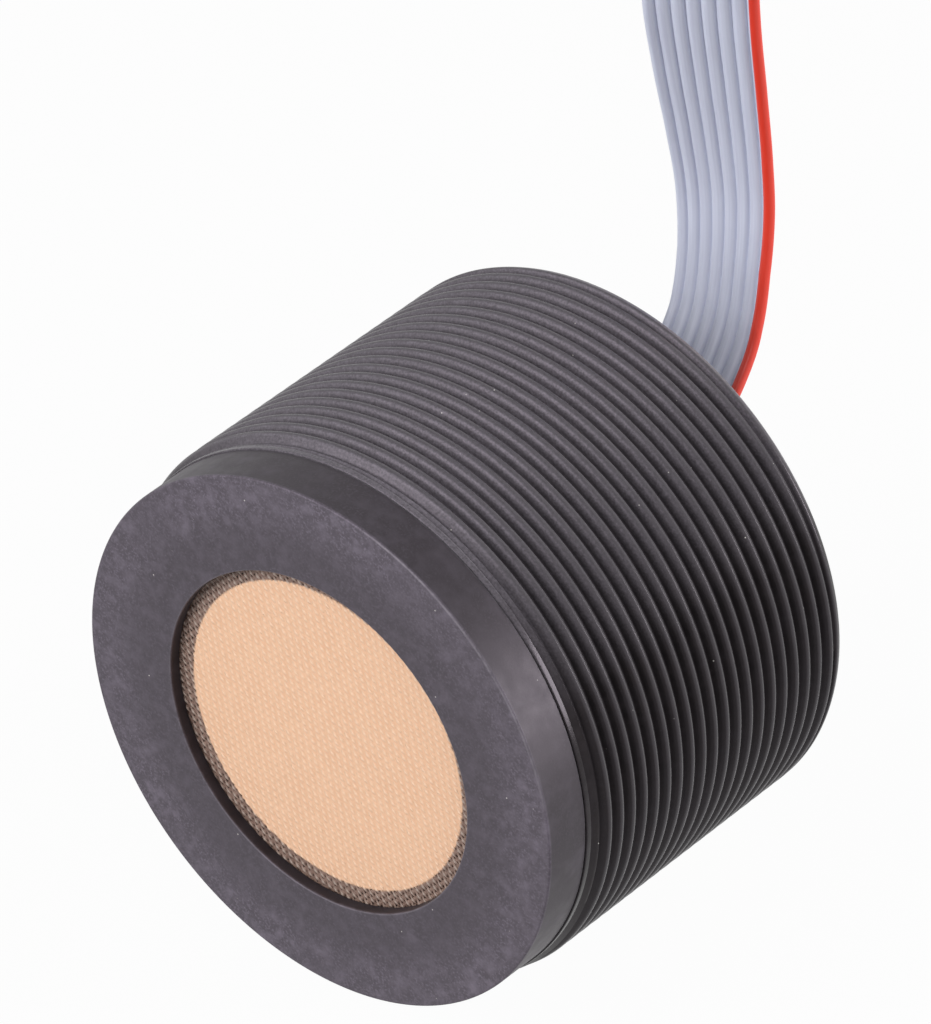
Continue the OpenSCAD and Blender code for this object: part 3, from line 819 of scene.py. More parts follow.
@dataclass
class Studio:
    """A white table and a plain soft-lit room, seen from the photograph's viewpoint."""

    eye: tuple[float, float, float] = (0.3763, -0.4405, 0.4481)
    right: tuple[float, float, float] = (0.76913, 0.63909, 0.0)
    up: tuple[float, float, float] = (-0.38010, 0.45745, 0.80390)
    back: tuple[float, float, float] = (0.51377, -0.61831, 0.59476)
    lens_mm: float = 319.475
    table_z: float = -0.02485
    table_half: float = 4.0
    card: str = "#a6a6a7"
    table_white: float = 0.97
    ceiling: float = 0.35
    near_side: float = 0.22
    backdrop_deg: float = 50.0

    def camera(self) -> None:
        """A long lens at the measured place: its axes are right, up and back."""
        lens = bpy.data.cameras.new("photo_camera")
        lens.sensor_fit = "AUTO"
        lens.sensor_width = 36.0
        lens.lens = self.lens_mm
        lens.clip_start, lens.clip_end = 0.01, 10.0
        holder = new_object("photo_camera", lens)
        turn = Matrix((self.right, self.up, self.back)).transposed().to_4x4()
        holder.matrix_world = Matrix.Translation(self.eye) @ turn
        bpy.context.scene.camera = holder

    def seen_directly(self, tree: bpy.types.NodeTree) -> bpy.types.Node:
        """1 for camera, glossy and transmitted rays, and 0 for diffuse light.

        Args:
            tree: the node tree of the table's card or of the room.

        Returns:
            The node that gives it.
        """
        path = add_node(tree, Kind.PATH).outputs
        inputs = {0: path["Is Camera Ray"], 1: path["Is Glossy Ray"]}
        either = add_node(tree, Kind.MATH, inputs, operation="MAXIMUM")
        inputs = {0: either, 1: path["Is Transmission Ray"]}
        return add_node(tree, Kind.MATH, inputs, operation="MAXIMUM")

    def table(self) -> None:
        """A matt white sheet that shows as white and keeps a faint shadow."""
        h = self.table_half / MM
        z = self.table_z / MM
        corners = np.array([[-h, -h, z], [h, -h, z], [h, h, z], [-h, h, z]])
        sheet = mesh_piece("white_table", corners, np.array([[0, 1, 2, 3]]))
        # Matt white card: it shows no gloss, and only its own white and the soft shadow
        made = bpy.data.materials.new("card_coated_matt_white")
        tree = empty_tree(made)
        add = partial(add_node, tree)
        paper = add(Kind.CARD, {"Color": linear(self.card)})
        glow = add(Kind.GLOW, {"Color": (1.0, 1.0, 1.0, 1.0), "Strength": 1.0})
        inputs = {0: self.seen_directly(tree), 1: self.table_white}
        share = add(Kind.MATH, inputs, operation="MULTIPLY")
        both = add(Kind.MIX_SHADERS, {0: share, 1: paper, 2: glow})
        add(Kind.OUTPUT, {"Surface": both})
        sheet.data.materials.append(made)

    def room(self) -> None:
        """A pale room that is dimmer above and behind the camera, and is seen as plain white.

        The light it gives is the least of two ramps, one over the height of the direction and one
        over its part towards the backdrop.
        """
        world = bpy.data.worlds.new("studio_room")
        bpy.context.scene.world = world
        tree = empty_tree(world)
        add = partial(add_node, tree)
        way = add(Kind.PLACE).outputs["Generated"]
        height = add(Kind.SPLIT, {0: way}).outputs[2]
        inputs = {0: height, 1: 0.55, 2: 0.68, 3: 1.0, 4: self.ceiling}
        above = add(Kind.RANGE, inputs, interpolation_type="SMOOTHSTEP")
        turn = math.radians(self.backdrop_deg)
        inputs = {0: way, 1: (math.cos(turn), math.sin(turn), 0.0)}
        facing = add(Kind.VECTOR, inputs, operation="DOT_PRODUCT")
        inputs = {0: facing, 1: -0.35, 2: 0.35, 3: self.near_side, 4: 1.0}
        near = add(Kind.RANGE, inputs, interpolation_type="SMOOTHSTEP")
        level = add(Kind.MATH, {0: above, 1: near}, operation="MINIMUM")
        inputs = {0: level, 1: self.seen_directly(tree)}
        strength = add(Kind.MATH, inputs, operation="MAXIMUM")
        glow = add(Kind.BACKGROUND, {"Color": (1.0, 1.0, 1.0, 1.0), "Strength": strength})
        add(Kind.ROOM, {"Surface": glow})

    def lamp(
        self, name: str, way: tuple[float, float, float], far: float, size: float, watts: float
    ) -> None:
        """A round soft lamp that faces the object.

        Args:
            name: the lamp's name.
            way: its direction from the object.
            far: its distance in metres.
            size: its diameter in metres.
            watts: its power.
        """
        light = bpy.data.lights.new(name, "AREA")
        light.shape = "DISK"
        light.size = size
        light.energy = watts
        aim = Vector(way).normalized()
        turn = aim.to_track_quat("Z", "Y").to_matrix().to_4x4()
        new_object(name, light).matrix_world = Matrix.Translation(aim * far) @ turn

    def build(self) -> None:
        """Sets up the camera, the table, the room and the lamps."""
        bpy.context.scene.view_settings.view_transform = "Standard"
        self.camera()
        self.table()
        self.room()
        self.lamp("key_softbox", (-0.4, -0.84, 0.36), 1.1, 0.66, 7.0)
        self.lamp("upper_softbox", (-0.05, -0.7, 0.71), 1.1, 0.5, 4.7)
        self.lamp("backdrop_softbox", (0.73, 0.62, 0.2), 1.2, 0.6, 10.0)


# ---- the ribbon lead and its socket ----


@dataclass
class RibbonLead:
    """Eight round conductors joined by thin webs, on one smooth route to the socket."""

    ways: int = 8
    pitch: float = 1.27
    thickness: float = 0.9
    rib_half: float = 0.61
    web: float = 0.16
    rear_y: float = 30.4
    rest_z: float = -21.35
    steps: int = 8
    # Extruded soft vinyl: satin blue grey ribs with faint streaks along them, and one red edge
    finish: Finish = RibbonVinyl(
        "vinyl_extruded_grey_ribbon", "#c0c3d6", "#cdd1e2", 2.0, 0.4, 0.06, grain_mm=0.12,
        grain_depth_mm=0.002,
    )

    def route(self) -> np.ndarray:
        """The points that the ribbon passes through, from inside the housing to the socket.

        Returns:
            Array of shape (n, 4): sideways, back from the housing's end, height, turn in degrees.
        """
        z = self.rest_z
        return np.array([
            [0, -11, 4.9, 0], [0, 0, 4.9, 0], [0, 1.5, 4.9, 0], [-0.1, 5.5, 5.7, -1],
            [-0.2, 9.6, 7.6, -3], [-0.4, 12.8, 10.1, -5], [-0.8, 15.4, 13.2, -6],
            [-1.5, 17.2, 17.6, -3], [-2.1, 18, 23, 4], [-2.6, 17.7, 28.6, 11.5],
            [-2.8, 16.6, 35.2, 19.5], [-2.7, 15.1, 43, 27], [-2.5, 14.5, 49, 28],
            [-3, 15.5, 55.5, 28], [-5, 19.5, 61, 28], [-8.5, 26, 64, 28], [-12, 33, 62.5, 28],
            [-15.5, 39.5, 57, 28], [-20.5, 48.5, 45.5, 28], [-25.5, 58, 31.5, 28],
            [-31, 68, 18, 28], [-37, 79.5, 4.5, 28], [-44.5, 93.5, -8.5, 28],
            [-53.5, 110.5, -17.5, 28], [-61, 124.8, z + 0.2, 28], [-64.2, 130.9, z, 28],
            [-68, 138, z, 28],
        ])

    def centreline(self) -> tuple[np.ndarray, np.ndarray]:
        """The line through the route's points, and the turn of the width along it.

        Between points a and b at s from 0 to 1 it is the cubic a (2s^3 - 3s^2 + 1) +
        ta (s^3 - 2s^2 + s) + b (3s^2 - 2s^3) + tb (s^3 - s^2), where ta and tb are |b - a| times
        the unit vector from the point before to the point behind.

        Returns:
            Points of shape (n, 3) in millimetres, and n turns in degrees.
        """
        route = self.route()
        p = route[:, :3] + [0, self.rear_y, 0]
        ahead = np.concatenate([p[1:], p[-1:]]) - np.concatenate([p[:1], p[:-1]])
        ahead /= np.linalg.norm(ahead, axis=1)[:, None]
        a, b = p[:-1, None], p[1:, None]
        reach = np.linalg.norm(b - a, axis=2)[..., None]
        ta, tb = ahead[:-1, None] * reach, ahead[1:, None] * reach
        s = (np.arange(self.steps) / self.steps)[None, :, None]
        q, c = s**2, s**3
        line = a * (2 * c - 3 * q + 1) + ta * (c - 2 * q + s) + b * (3 * q - 2 * c) + tb * (c - q)
        turn = route[:-1, None, 3:] * (1 - s) + route[1:, None, 3:] * s
        points = np.concatenate([line.reshape(-1, 3), p[-1:]])
        turns = np.concatenate([turn.ravel(), route[-1:, 3]])
        return points, turns

    def section(self) -> np.ndarray:
        """The ribbon's outline: a rib over each conductor, thin webs between.

        On a rib, x = c - w cos p and h = r sin p about its centre c, with r = thickness / 2 and
        w the rib's half width, which is r on the two outer sides, so that the ribbon keeps its
        width.

        Returns:
            Array of shape (n, 2): place across the width and height, anticlockwise seen along it.
        """
        r = self.thickness / 2
        meet = math.asin(self.web / 2 / r)
        centres = (np.arange(self.ways) - (self.ways - 1) / 2) * self.pitch
        arc = np.linspace(np.pi - meet, meet, 11)
        rib_x = centres[:, None] + self.rib_half * np.cos(arc)
        rib_x[0, :5] = centres[0] + r * np.cos(arc[:5])
        rib_x[-1, 6:] = centres[-1] + r * np.cos(arc[6:])
        top_x = np.concatenate([rib_x, centres[:, None] + self.pitch / 2], axis=1).ravel()[:-1]
        heights = np.append(r * np.sin(arc), self.web / 2 * 0.8)
        top_h = np.tile(heights, self.ways)[:-1]
        cap = np.linspace(meet, -meet, 5)[1:-1]
        right = np.stack([centres[-1] + r * np.cos(cap), r * np.sin(cap)], axis=1)
        top = np.stack([top_x, top_h], axis=1)
        bottom = top[::-1] * [1, -1]
        left = right[::-1] * [-1, 1]
        return np.concatenate([top, right, bottom, left])[::-1]

    def build(self, socket: list[bpy.types.Object]) -> bpy.types.Object:
        """A point is P + w x + n h, where w is the level width direction made square to the heading
        t, n = w cross t, and (x, h) is the section.

        Args:
            socket: the pieces of the socket at the far end; not used.

        Returns:
            The ribbon.
        """
        points, turns = self.centreline()
        ahead = np.gradient(points, axis=0)
        ahead /= np.linalg.norm(ahead, axis=1)[:, None]
        angle = np.radians(turns)
        level = np.stack([np.cos(angle), np.sin(angle), np.zeros_like(angle)], axis=1)
        width = level - ahead * np.sum(level * ahead, axis=1)[:, None]
        width /= np.linalg.norm(width, axis=1)[:, None]
        out = np.cross(width, ahead)
        section = self.section()
        x, h = section[None, :, :1], section[None, :, 1:]
        rings = points[:, None] + width[:, None] * x + out[:, None] * h
        n, m = len(points), len(section)
        wrapped = grid_faces(n, m + 1)
        row, column = np.divmod(wrapped, m + 1)
        walls = row * m + column % m
        caps = np.stack([np.arange(m)[::-1], (n - 1) * m + np.arange(m)])
        piece = mesh_piece("ribbon_lead", rings.reshape(-1, 3), walls, caps)
        span = (self.ways - 1) * self.pitch + self.thickness
        steps = np.linalg.norm(np.diff(points, axis=0), axis=1)
        along = np.concatenate([[0], np.cumsum(steps)]) * MM
        u = np.broadcast_to(section[:, 0] / span + 0.5, (n, m))
        v = np.broadcast_to(along[:, None], (n, m))
        flat = np.stack([u, v], axis=2).reshape(-1, 2)
        index = np.zeros(len(piece.data.loops), np.int32)
        piece.data.loops.foreach_get("vertex_index", index)
        layer = piece.data.uv_layers.new(name="ribbon")
        layer.data.foreach_set("uv", flat[index].astype(np.float32).ravel())
        merged(piece, 0.0005, recalculate=True)
        even_shading(piece, 60)
        placed(piece, "ribbon_cable", self.finish)
        return piece


@dataclass
class SocketConnector:
    """The two-row socket pressed on the ribbon's end: body, clamping bar and sprung contacts."""

    edge: float = 0.18
    # Moulded glass-filled polyester: near black, half matt
    plastic: Finish = Finish("polyester_moulded_black", "#29292b", "#343437", 2.0, 0.38, 0.06)
    # Bronze under gold plate: warm, with a soft metal shine
    plating: Finish = Finish(
        "bronze_gold_plated", "#c9a24d", "#dcb968", 0.8, 0.28, 0.06, metallic=1.0
    )

    def build(self) -> list[bpy.types.Object]:
        """Makes the body and bar with eased edges, and plates the contacts.

        Returns:
            The socket's pieces.
        """
        names = {"connector_body": "socket_body", "connector_bar": "socket_bar"}
        pieces = [
            placed(eased_copy(node, name, self.edge), node, self.plastic)
            for node, name in names.items()
        ]
        return [*pieces, dressed(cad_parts["connector_contacts"], self.plating)]


# ---- the housing ----


@dataclass
class ThreadedHousing:
    """The sleeve: a right-hand thread with a lead-in cone in front and a lip behind."""

    crest_r: float = 24.85
    pitch: float = 1.5
    crest_flat: float = 0.47
    root_flat: float = 0.21
    crest_ease: float = 0.23
    root_ease: float = 0.07
    foot_run: float = 0.6
    lip_run: float = 0.8
    lip_rise: float = 0.35
    flank_deg: float = 30.0
    cone_y: float = -1.22
    cone_foot_r: float = 24.14
    cone_deg: float = 30.0
    land_r: float = 24.3
    land_y: float = -1.84583
    lip_r: float = 24.82
    lip_y: float = 29.42
    # The lip's outline from the thread to the end face: drop below lip_r, run past lip_y
    lip_line: tuple[tuple[float, float], ...] = (
        (0.22, 0.12), (0.07, 0.18), (0.0, 0.28), (0.0, 0.42),
        (0.08, 0.62), (0.2, 0.84), (0.26, 0.94), (0.37, 0.98),
    )
    rear_y: float = 30.4
    bore_r: float = 22.0
    rib_r: float = 20.0
    rib_y: tuple[float, float] = (4.55417, 6.05417)
    phase_deg: float = 70.0
    turns: int = 240
    # Moulded glass-filled nylon: near black, satin, with a grey bloom of dust on top that is partly
    # painted top light, painted shade in the grooves, and rubbed crests that are partly painted
    # highlights
    finish: Finish = HandledNylon(
        "nylon_glass_filled_moulded", "#141211", "#1c1918", 1.2, 0.4, 0.05, ior=1.31,
        gloss_tint="#ffefff", dust_and_light_tone="#88828b", dust_share=0.04, top_dust_and_light_share=0.56,
        top_dust_and_light_z=(11.0, 24.0), root_r=24.15, smooth_y=-1.25, crest_r=24.85, crest_rub_and_highlight_share=0.14,
        crest_roughness=0.24,
        wear_and_highlight_rings=(
            WearAndHighlightRing(24.56, 30.36, 0.3, 0.75, 30, 100),
            # Painted highlight along the land's back edge, where it catches the light from above
            WearAndHighlightRing(24.3, -1.28, 0.12, 0.5, 50, 140),
        ),
    )

    def ridge(self) -> tuple[np.ndarray, np.ndarray]:
        """One pitch of the thread's profile, its crest edges and root corners rounded.

        Each corner gives the three points of its rounding and the middle of the line after it.

        Returns:
            Offsets along the axis from the crest's start, and radii, both in millimetres.
        """
        slope = math.tan(math.radians(self.flank_deg))
        flank = (self.pitch - self.crest_flat - self.root_flat) / 2
        top, low = self.crest_r, self.crest_r - flank / slope
        root = self.crest_flat + flank
        corners = np.array([
            [-flank, low], [0.0, top], [self.crest_flat, top],
            [root, low], [root + self.root_flat, low], [self.pitch, top],
        ])
        crest, seat = self.crest_ease, self.root_ease
        rounded = eased(corners, np.array([seat, crest, crest, seat, seat, crest]), 2)
        middles = (corners[1:5] + corners[2:6]) / 2
        ring = np.concatenate([rounded.reshape(6, 3, 2)[1:5], middles[:, None]], axis=1)
        return ring[..., 0].ravel(), ring[..., 1].ravel()

    def thread(self) -> tuple[np.ndarray, np.ndarray, int]:
        """The thread as radii over angle and column.

        With shift(a) = -pitch (a - phase) / 360, column u lies at y = u + shift(a), kept between
        the cone's foot and the lip, and r(a, y) = min(cone(y), max(T(y - shift(a)), floor(y))),
        where T is the ridge profile and floor raises the groove at both ends.

        Returns:
            Radii and places of shape (turns, columns), and the columns in one pitch.
        """
        offsets, radii = self.ridge()
        count = len(offsets)
        first, last = -2, int(math.ceil((self.rear_y + self.pitch) / self.pitch)) + 1
        starts = np.arange(first, last) * self.pitch
        u = (starts[:, None] + offsets).ravel()
        knots_r = np.tile(radii, last - first)
        angle = np.arange(self.turns)[:, None] * 360 / self.turns
        shift = -self.pitch * (angle - self.phase_deg) / 360
        y = np.clip(u[None] + shift, self.cone_y, self.lip_y)
        wound = np.interp(y - shift, u, knots_r)
        low = radii.min()
        cone = self.cone_foot_r + (y - self.cone_y) * math.tan(math.radians(self.cone_deg))
        floor = np.interp(
            y,
            [self.cone_y, self.cone_y + self.foot_run, self.lip_y - self.lip_run, self.lip_y],
            [self.cone_foot_r, low, low, low + self.lip_rise],
        )
        return np.minimum(cone, np.maximum(wound, floor)), y, count

    def inside(self) -> tuple[np.ndarray, np.ndarray]:
        """The rest of the section, from the rounded lip through the bore to the cone's foot.

        Returns:
            Radii and places of shape (turns, columns).
        """
        corners = np.array([
            [self.bore_r, self.rear_y], [self.bore_r, self.rib_y[1]], [self.rib_r, self.rib_y[1]],
            [self.rib_r, self.rib_y[0]], [self.bore_r, self.rib_y[0]], [self.bore_r, self.land_y],
            [self.land_r, self.land_y], [self.land_r, self.cone_y - 0.07],
            [self.cone_foot_r, self.cone_y],
        ])
        cuts = np.array([0.15, 0.1, 0.15, 0.15, 0.1, 0.05, 0.11, 0.04, 0.0])
        steps = 4
        line = eased(corners, cuts, steps)[: (len(corners) - 1) * (steps + 1)]
        line = np.concatenate([line, corners[-1:]])
        lip = np.array(self.lip_line) * [-1, 1] + [self.lip_r, self.lip_y]
        section = np.concatenate([lip, line])
        shape = (self.turns, len(section))
        return np.broadcast_to(section[:, 0], shape), np.broadcast_to(section[:, 1], shape)

    def build(self) -> bpy.types.Object:
        """Builds the thread and the rest of the section, and welds them into one shell.

        Returns:
            The housing.
        """
        radii, places, lag = self.thread()
        columns = radii.shape[1]
        rest_r, rest_y = self.inside()
        rest_r = np.concatenate([radii[:, -1:], rest_r], axis=1)
        rest_y = np.concatenate([places[:, -1:], rest_y], axis=1)
        points = np.concatenate([
            turned_points(radii, places, self.turns), turned_points(rest_r, rest_y, self.turns),
        ])
        wound = turned_faces(self.turns, columns, Seam.HELICAL, lag)
        plain = turned_faces(self.turns, rest_r.shape[1], Seam.PLAIN) + self.turns * columns
        piece = mesh_piece("threaded_housing", points, wound, plain)
        merged(piece, 0.002)
        even_shading(piece, 50)
        return placed(piece, "threaded_sleeve", self.finish)


@dataclass
class FrontRing:
    """The smooth ring round the sensing face, with its spigot inside the sleeve."""

    outer_r: float = 24.15
    face_y: float = -6.29583
    band_y: float = -1.856
    opening_r: float = 15.6
    mesh_y: float = -5.14583
    insert_r: float = 21.95
    pocket_r: float = 19.0
    flange_y: float = 2.30417
    turns: int = 256
    # The same nylon, turned: near black and satin, its face hazed grey by handling
    finish: Finish = HandledNylon(
        "nylon_glass_filled_turned", "#1b181a", "#252225", 1.6, 0.5, 0.05, ior=1.48,
        gloss_tint="#ffefff", hazed_y=-6.29583, haze_share=0.155, dust_share=0.3,
        top_dust_and_light_share=0.04, top_dust_and_light_z=(16.0, 25.0), wear_and_highlight_rings=(
            # A lighter line on the outer front edge, from 10 to 80 degrees round
            WearAndHighlightRing(24.05, -6.23, 0.12, 0.55, 10, 80),
            WearAndHighlightRing(15.68, -6.24, 0.1, 0.3),
            WearAndHighlightRing(24.15, -1.9, 0.1, 0.25),
        ),
    )

    def build(self) -> bpy.types.Object:
        """Turns the eased section about the axis.

        Returns:
            The ring.
        """
        corners = np.array([
            [self.opening_r, self.face_y], [self.outer_r, self.face_y],
            [self.outer_r, self.band_y], [self.insert_r, self.band_y],
            [self.insert_r, self.flange_y], [self.pocket_r, self.flange_y],
            [self.pocket_r, self.mesh_y], [self.opening_r, self.mesh_y],
        ])
        cuts = np.array([0.16, 0.2, 0.03, 0.03, 0.25, 0.1, 0.05, 0.08])
        ring = turned_ring("face_ring", eased(corners, cuts, 6), self.turns)
        return placed(ring, "front_ring", self.finish)


@dataclass
class SensingFace:
    """A plain-woven filament mesh in a flat welded rim, over the tan matching layer."""

    mesh_r: float = 15.9
    rim_r: tuple[float, float] = (15.75, 18.95)
    front_y: float = -5.14583
    thickness: float = 0.25
    spacing: tuple[float, float] = (0.417, 0.542)
    turned_deg: float = 46.8
    covered: tuple[float, float] = (0.77, 0.95)
    uneven: float = 0.022
    tall: float = 0.122
    swing: tuple[float, float] = (0.052, 0.048)
    sides: int = 6
    layer_r: float = 14.15
    layer_sunk: float = 0.085
    layer_back_y: float = -2.24583
    # Drawn and woven nylon filament: tan over the layer, brown over the gap, a dull shine, and a
    # painted highlight on each crossing
    weave: Finish = ClearFilament(
        "nylon_filament_woven", "#776056", "#897166", 0.8, 0.34, 0.08, ior=1.38, grain_mm=0.05,
        grain_depth_mm=0.001,
    )
    # Epoxy filled with glass bubbles, cast and ground flat: an even chalky tan, finely speckled
    tan: Finish = Finish(
        "epoxy_syntactic_ground_tan", "#e1b493", "#e7bd9d", 1.2, 0.75, 0.05, grain_mm=0.1,
        grain_depth_mm=0.006,
    )
    # Closed-cell silicone foam: dull, with small pores; its pale brown grey is partly painted
    # light, so the holes of the mesh in front of it do not go dark
    foam: Finish = Finish(
        "silicone_foam_dark", "#a58b7d", "#b3998c", 0.5, 0.85, 0.05, grain_mm=0.25,
        grain_depth_mm=0.08,
    )
    # Moulded cup behind the ring: black, satin
    cup: Finish = Finish("polyester_moulded_cup", "#2a2a2c", "#333336", 1.5, 0.45, 0.06)

    def filaments(self, family: int) -> tuple[np.ndarray, np.ndarray, np.ndarray]:
        """One family of filaments.

        Filament k lies at (k + 1/2) p across, give or take a little. At s along it, its middle
        stands at y = sign(-1)^k h sin(pi s / q), q being the other family's spacing, so that it
        passes over and under in turn. Its section is an ellipse. The second family lies a little
        behind the first, and the filaments vary in width.

        Args:
            family: 0 or 1.

        Returns:
            Points, quads and end caps of the parts inside the mesh's radius.
        """
        p, q = self.spacing[family], self.spacing[1 - family]
        count, reach = int(self.mesh_r / p) + 1, int(2 * self.mesh_r / q) + 1
        k = np.arange(-count, count)
        m = np.arange(-reach, reach + 1)
        stray = np.random.default_rng(7 + family).normal(0.0, self.uneven, len(k))
        off = ((k + 0.5) * p + stray)[:, None]
        s = (m * q / 2)[None, :]
        tall = self.tall / 2
        sign = 1.0 if family == 0 else -1.0
        swing = self.swing[family]
        back = (self.thickness / 2 - tall - swing) * (-1.0 if family == 0 else 1.0)
        way = np.where(k % 2 == 0, 1.0, -1.0)[:, None]
        rise = back + sign * swing * way * np.sin(np.pi * s / q)
        a = (np.arange(self.sides) + 0.5) * 2 * np.pi / self.sides
        wide = p * self.covered[family] / 2 * (1 + np.clip(stray, -0.03, 0.03) * 4)[:, None, None]
        across = off[..., None] + wide * np.cos(a)
        height = rise[..., None] + tall * np.sin(a)
        run = np.broadcast_to(s[..., None], height.shape)
        n1 = np.radians(self.turned_deg)
        e1, e2 = np.array([np.cos(n1), np.sin(n1)]), np.array([-np.sin(n1), np.cos(n1)])
        if family == 1:
            e1, e2 = e2, -e1
        across = np.broadcast_to(across, height.shape)
        x = across * e1[0] + run * e2[0]
        z = across * e1[1] + run * e2[1]
        y = self.front_y + self.thickness / 2 + height
        points = np.stack([x, y, z], axis=3).reshape(-1, 3)
        kept = off**2 + s**2 < self.mesh_r**2
        base = (np.arange(kept.size) * self.sides).reshape(kept.shape)
        both = kept[:, :-1] & kept[:, 1:]
        left, right = base[:, :-1][both][:, None], base[:, 1:][both][:, None]
        side = np.arange(self.sides)[None]
        after = (side + 1) % self.sides
        corners = [left + side, right + side, right + after, left + after]
        quads = np.stack(corners, axis=2).reshape(-1, 4)
        ring = np.arange(self.sides)
        starts = base[:, 1:][kept[:, 1:] & ~kept[:, :-1]][:, None] + ring
        ends = base[:, :-1][kept[:, :-1] & ~kept[:, 1:]][:, None] + ring[::-1]
        return points, quads, np.concatenate([starts, ends])

    def layer(self) -> bpy.types.Object:
        """A turned disc whose front is bonded into the back of the mesh.

        Returns:
            The tan matching layer.
        """
        r, front, back = self.layer_r, self.front_y + self.layer_sunk, self.layer_back_y
        corners = np.array([[0.0, front], [r, front], [r, back], [0.0, back]])
        line = eased(corners, np.array([0.01, 0.06, 0.03, 0.01]), 3)
        line = np.concatenate([[[0.0, front]], line[4:12], [[0.0, back]]])
        turns = 192
        piece = mesh_piece(
            "tan_matching_layer", turned_points(line[:, 0], line[:, 1], turns),
            turned_faces(turns, len(line), Seam.PLAIN),
        )
        merged(piece)
        even_shading(piece, 40)
        return placed(piece, "matching_layer", self.tan)

    def build(self) -> list[bpy.types.Object]:
        """Weaves the mesh, adds its rim and the tan layer, and dresses what lies behind them.

        Returns:
            The mesh, its rim and the layer.
        """
        points, quads, caps, start = [], [], [], 0
        for family in (0, 1):
            p, q, c = self.filaments(family)
            points.append(p)
            quads.append(q + start)
            caps.append(c + start)
            start += len(p)
        piece = mesh_piece("woven_face", *(np.concatenate(part) for part in (points, quads, caps)))
        merged(piece, 0.0005, recalculate=True)
        placed(piece, "face_mesh", self.weave)
        inner, outer = self.rim_r
        front, back = self.front_y + 0.02, self.front_y + self.thickness - 0.01
        corners = np.array([[inner, front], [outer, front], [outer, back], [inner, back]])
        rim = turned_ring("woven_face_rim", eased(corners, np.full(4, 0.05), 3), 128)
        placed(rim, "face_mesh", self.weave)
        layer = self.layer()
        dressed(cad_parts["decoupling_ring"], self.foam)
        dressed(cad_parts["transducer_cup"], self.cup)
        return [piece, rim, layer]


@dataclass
class RearClosure:
    """The rear cover and the rubber grommet that the ribbon leaves through."""

    # Moulded nylon cover: near black, satin, dusty
    cover: Finish = HandledNylon(
        "nylon_moulded_cover", "#1b191a", "#252224", 1.8, 0.48, 0.06, gloss_tint="#ffefff"
    )
    # Moulded nitrile rubber: near black, dull, slightly bloomed
    rubber: Finish = Finish(
        "nitrile_rubber_moulded", "#1f1f20", "#2b2b2c", 1.2, 0.62, 0.08, grain_mm=0.2,
        grain_depth_mm=0.006,
    )

    def build(self) -> list[bpy.types.Object]:
        """Makes the cover and the grommet with eased edges, and dresses the gasket.

        Returns:
            The cover and the grommet.
        """
        cover = eased_copy("rear_cover", "rear_closing_cover", 0.2, 3)
        grommet = eased_copy("cable_grommet", "ribbon_grommet", 0.16, 3)
        dressed(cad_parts["flange_gasket"], self.rubber)
        return [
            placed(cover, "rear_cover", self.cover),
            placed(grommet, "cable_grommet", self.rubber),
        ]


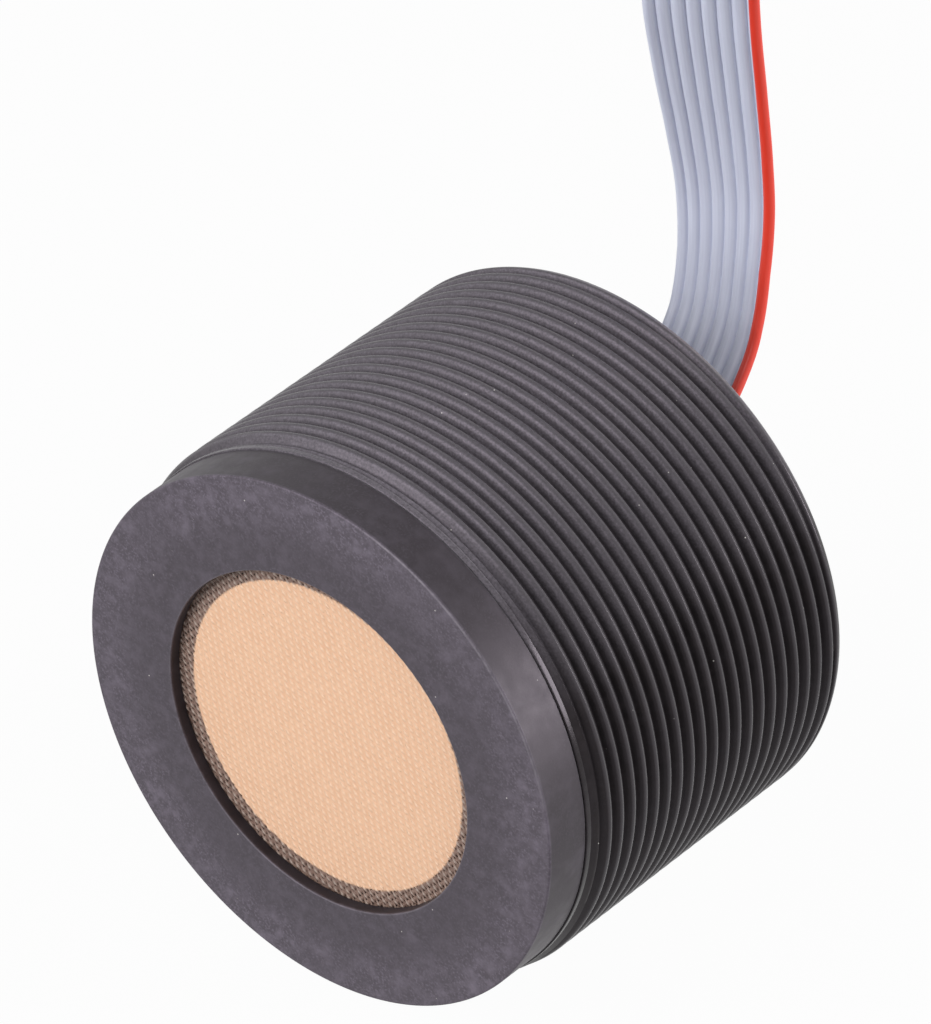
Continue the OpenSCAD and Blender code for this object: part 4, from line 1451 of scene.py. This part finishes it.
@dataclass
class InnerParts:
    """The sealed parts: the transducer's stack and the board, each in its real finish."""

    finishes: dict[str, Finish] = field(default_factory=lambda: {
        # Fired silver on lead zirconate: matt, pale, faintly yellow
        "piezo_disc": Finish(
            "silver_fired_on_ceramic", "#c9c6bb", "#d8d5ca", 1.2, 0.42, 0.08, metallic=0.7,
        ),
        # Filled polyurethane, cast: grey, with fine bubbles
        "damping_block": Finish("polyurethane_filled_cast", "#4c4e54", "#595c62", 1.0, 0.7, 0.06),
        # Extruded silicone insulation: soft, satin, red and black
        "signal_lead": Finish("silicone_extruded_red", "#b5271f", "#c4352b", 0.8, 0.45, 0.05),
        "ground_lead": Finish("silicone_extruded_black", "#1c1c1d", "#262627", 0.8, 0.45, 0.05),
        # Turned natural nylon: creamy white, waxy, faintly clouded
        "spacer_tube": Finish("nylon_natural_turned", "#d9d3c2", "#e5dfd0", 2.0, 0.5, 0.06),
        # Solder mask over glass epoxy: deep green, glossy, paler over the copper
        "circuit_board": MaskedBoard(
            "glass_epoxy_masked_green", "#14523a", "#1c6a4a", 2.0, 0.3, 0.06,
        ),
        # Pressed and sintered ferrite: dark charcoal, finely grained
        "transformer_core": Finish("ferrite_sintered", "#2e2f31", "#3b3c3f", 0.4, 0.6, 0.08),
        # Moulded phenolic: dark brown, half glossy
        "transformer_bobbin": Finish(
            "phenolic_moulded_bobbin", "#3a2f28", "#463a31", 1.0, 0.5, 0.06,
        ),
        # Enamelled copper, wound in layers: red brown, with a painted highlight along each turn
        "transformer_winding": WoundWire(
            "copper_enamelled_wound", "#6b2f12", "#c8743a", 1.0, 0.3, metallic=0.9,
        ),
        # Moulded epoxy of the chips: charcoal, finely matt
        "control_chip": Finish("epoxy_chip_moulded", "#1d1e20", "#27282a", 0.5, 0.55, 0.05),
        "amplifier_chip": Finish("epoxy_chip_moulded", "#1d1e20", "#27282a", 0.5, 0.55, 0.05),
        # Tinned copper alloy: pale, soft shine
        "chip_pins": Finish(
            "copper_alloy_tinned", "#b9babd", "#cdced1", 0.6, 0.32, 0.06, metallic=1.0,
        ),
        # Drawn nickel silver can: warm grey, brightest of the metals
        "quartz_crystal": Finish(
            "nickel_silver_drawn_can", "#b3b1ab", "#c6c4be", 1.5, 0.25, 0.05, metallic=1.0,
        ),
        # Shrunk vinyl sleeve: dark blue, smooth shine
        "storage_capacitor": Finish("vinyl_shrunk_sleeve", "#23324a", "#2c3d58", 1.0, 0.35, 0.05),
        # Fired titanate: tan brown, dull
        "chip_capacitors": Finish("barium_titanate_fired", "#9a7b58", "#ad8d69", 0.4, 0.5, 0.06),
        # Glazed alumina: black, half glossy
        "chip_resistors": Finish("alumina_glazed_chip", "#232323", "#3a3a3b", 0.4, 0.4, 0.06),
        # Epoxy dip: dark green, smooth, rounded shine
        "thermistor": Finish("epoxy_dipped_bead", "#2f4f3d", "#3a604b", 0.6, 0.35, 0.05),
        # Tinned stranded copper: pale grey, soft streaky shine
        "ribbon_wire_ends": Finish(
            "copper_stranded_tinned", "#b7b4ae", "#cfccc6", 0.3, 0.35, 0.06, metallic=1.0,
        ),
    })

    def build(self) -> None:
        """Puts each finish on its CAD node."""
        for node, finish in self.finishes.items():
            dressed(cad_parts[node], finish)


def plain(box: tuple[Vector, Vector]) -> list[list[float]]:
    """A box's two corners as plain lists of numbers."""
    return [[float(x) for x in corner] for corner in box]


def main() -> None:
    """Builds the studio and each sub-assembly in order."""
    logging.basicConfig(level=logging.INFO, format="%(message)s")
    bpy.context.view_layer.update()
    Studio().build()
    log.info("studio: camera, table, room and lamps")
    socket = SocketConnector().build()
    log.info("socket connector: %d pieces", len(socket))
    ribbon = RibbonLead().build(socket)
    log.info("ribbon lead: %d faces", len(ribbon.data.polygons))
    housing = ThreadedHousing().build()
    log.info("threaded housing: %d faces", len(housing.data.polygons))
    ring = FrontRing().build()
    log.info("front ring: %d faces", len(ring.data.polygons))
    face = SensingFace().build()
    log.info("sensing face: %d faces", sum(len(p.data.polygons) for p in face))
    rear = RearClosure().build()
    log.info("rear closure: %d pieces", len(rear))
    InnerParts().build()
    log.info("inner parts: dressed")


if __name__ == "__main__":
    main()
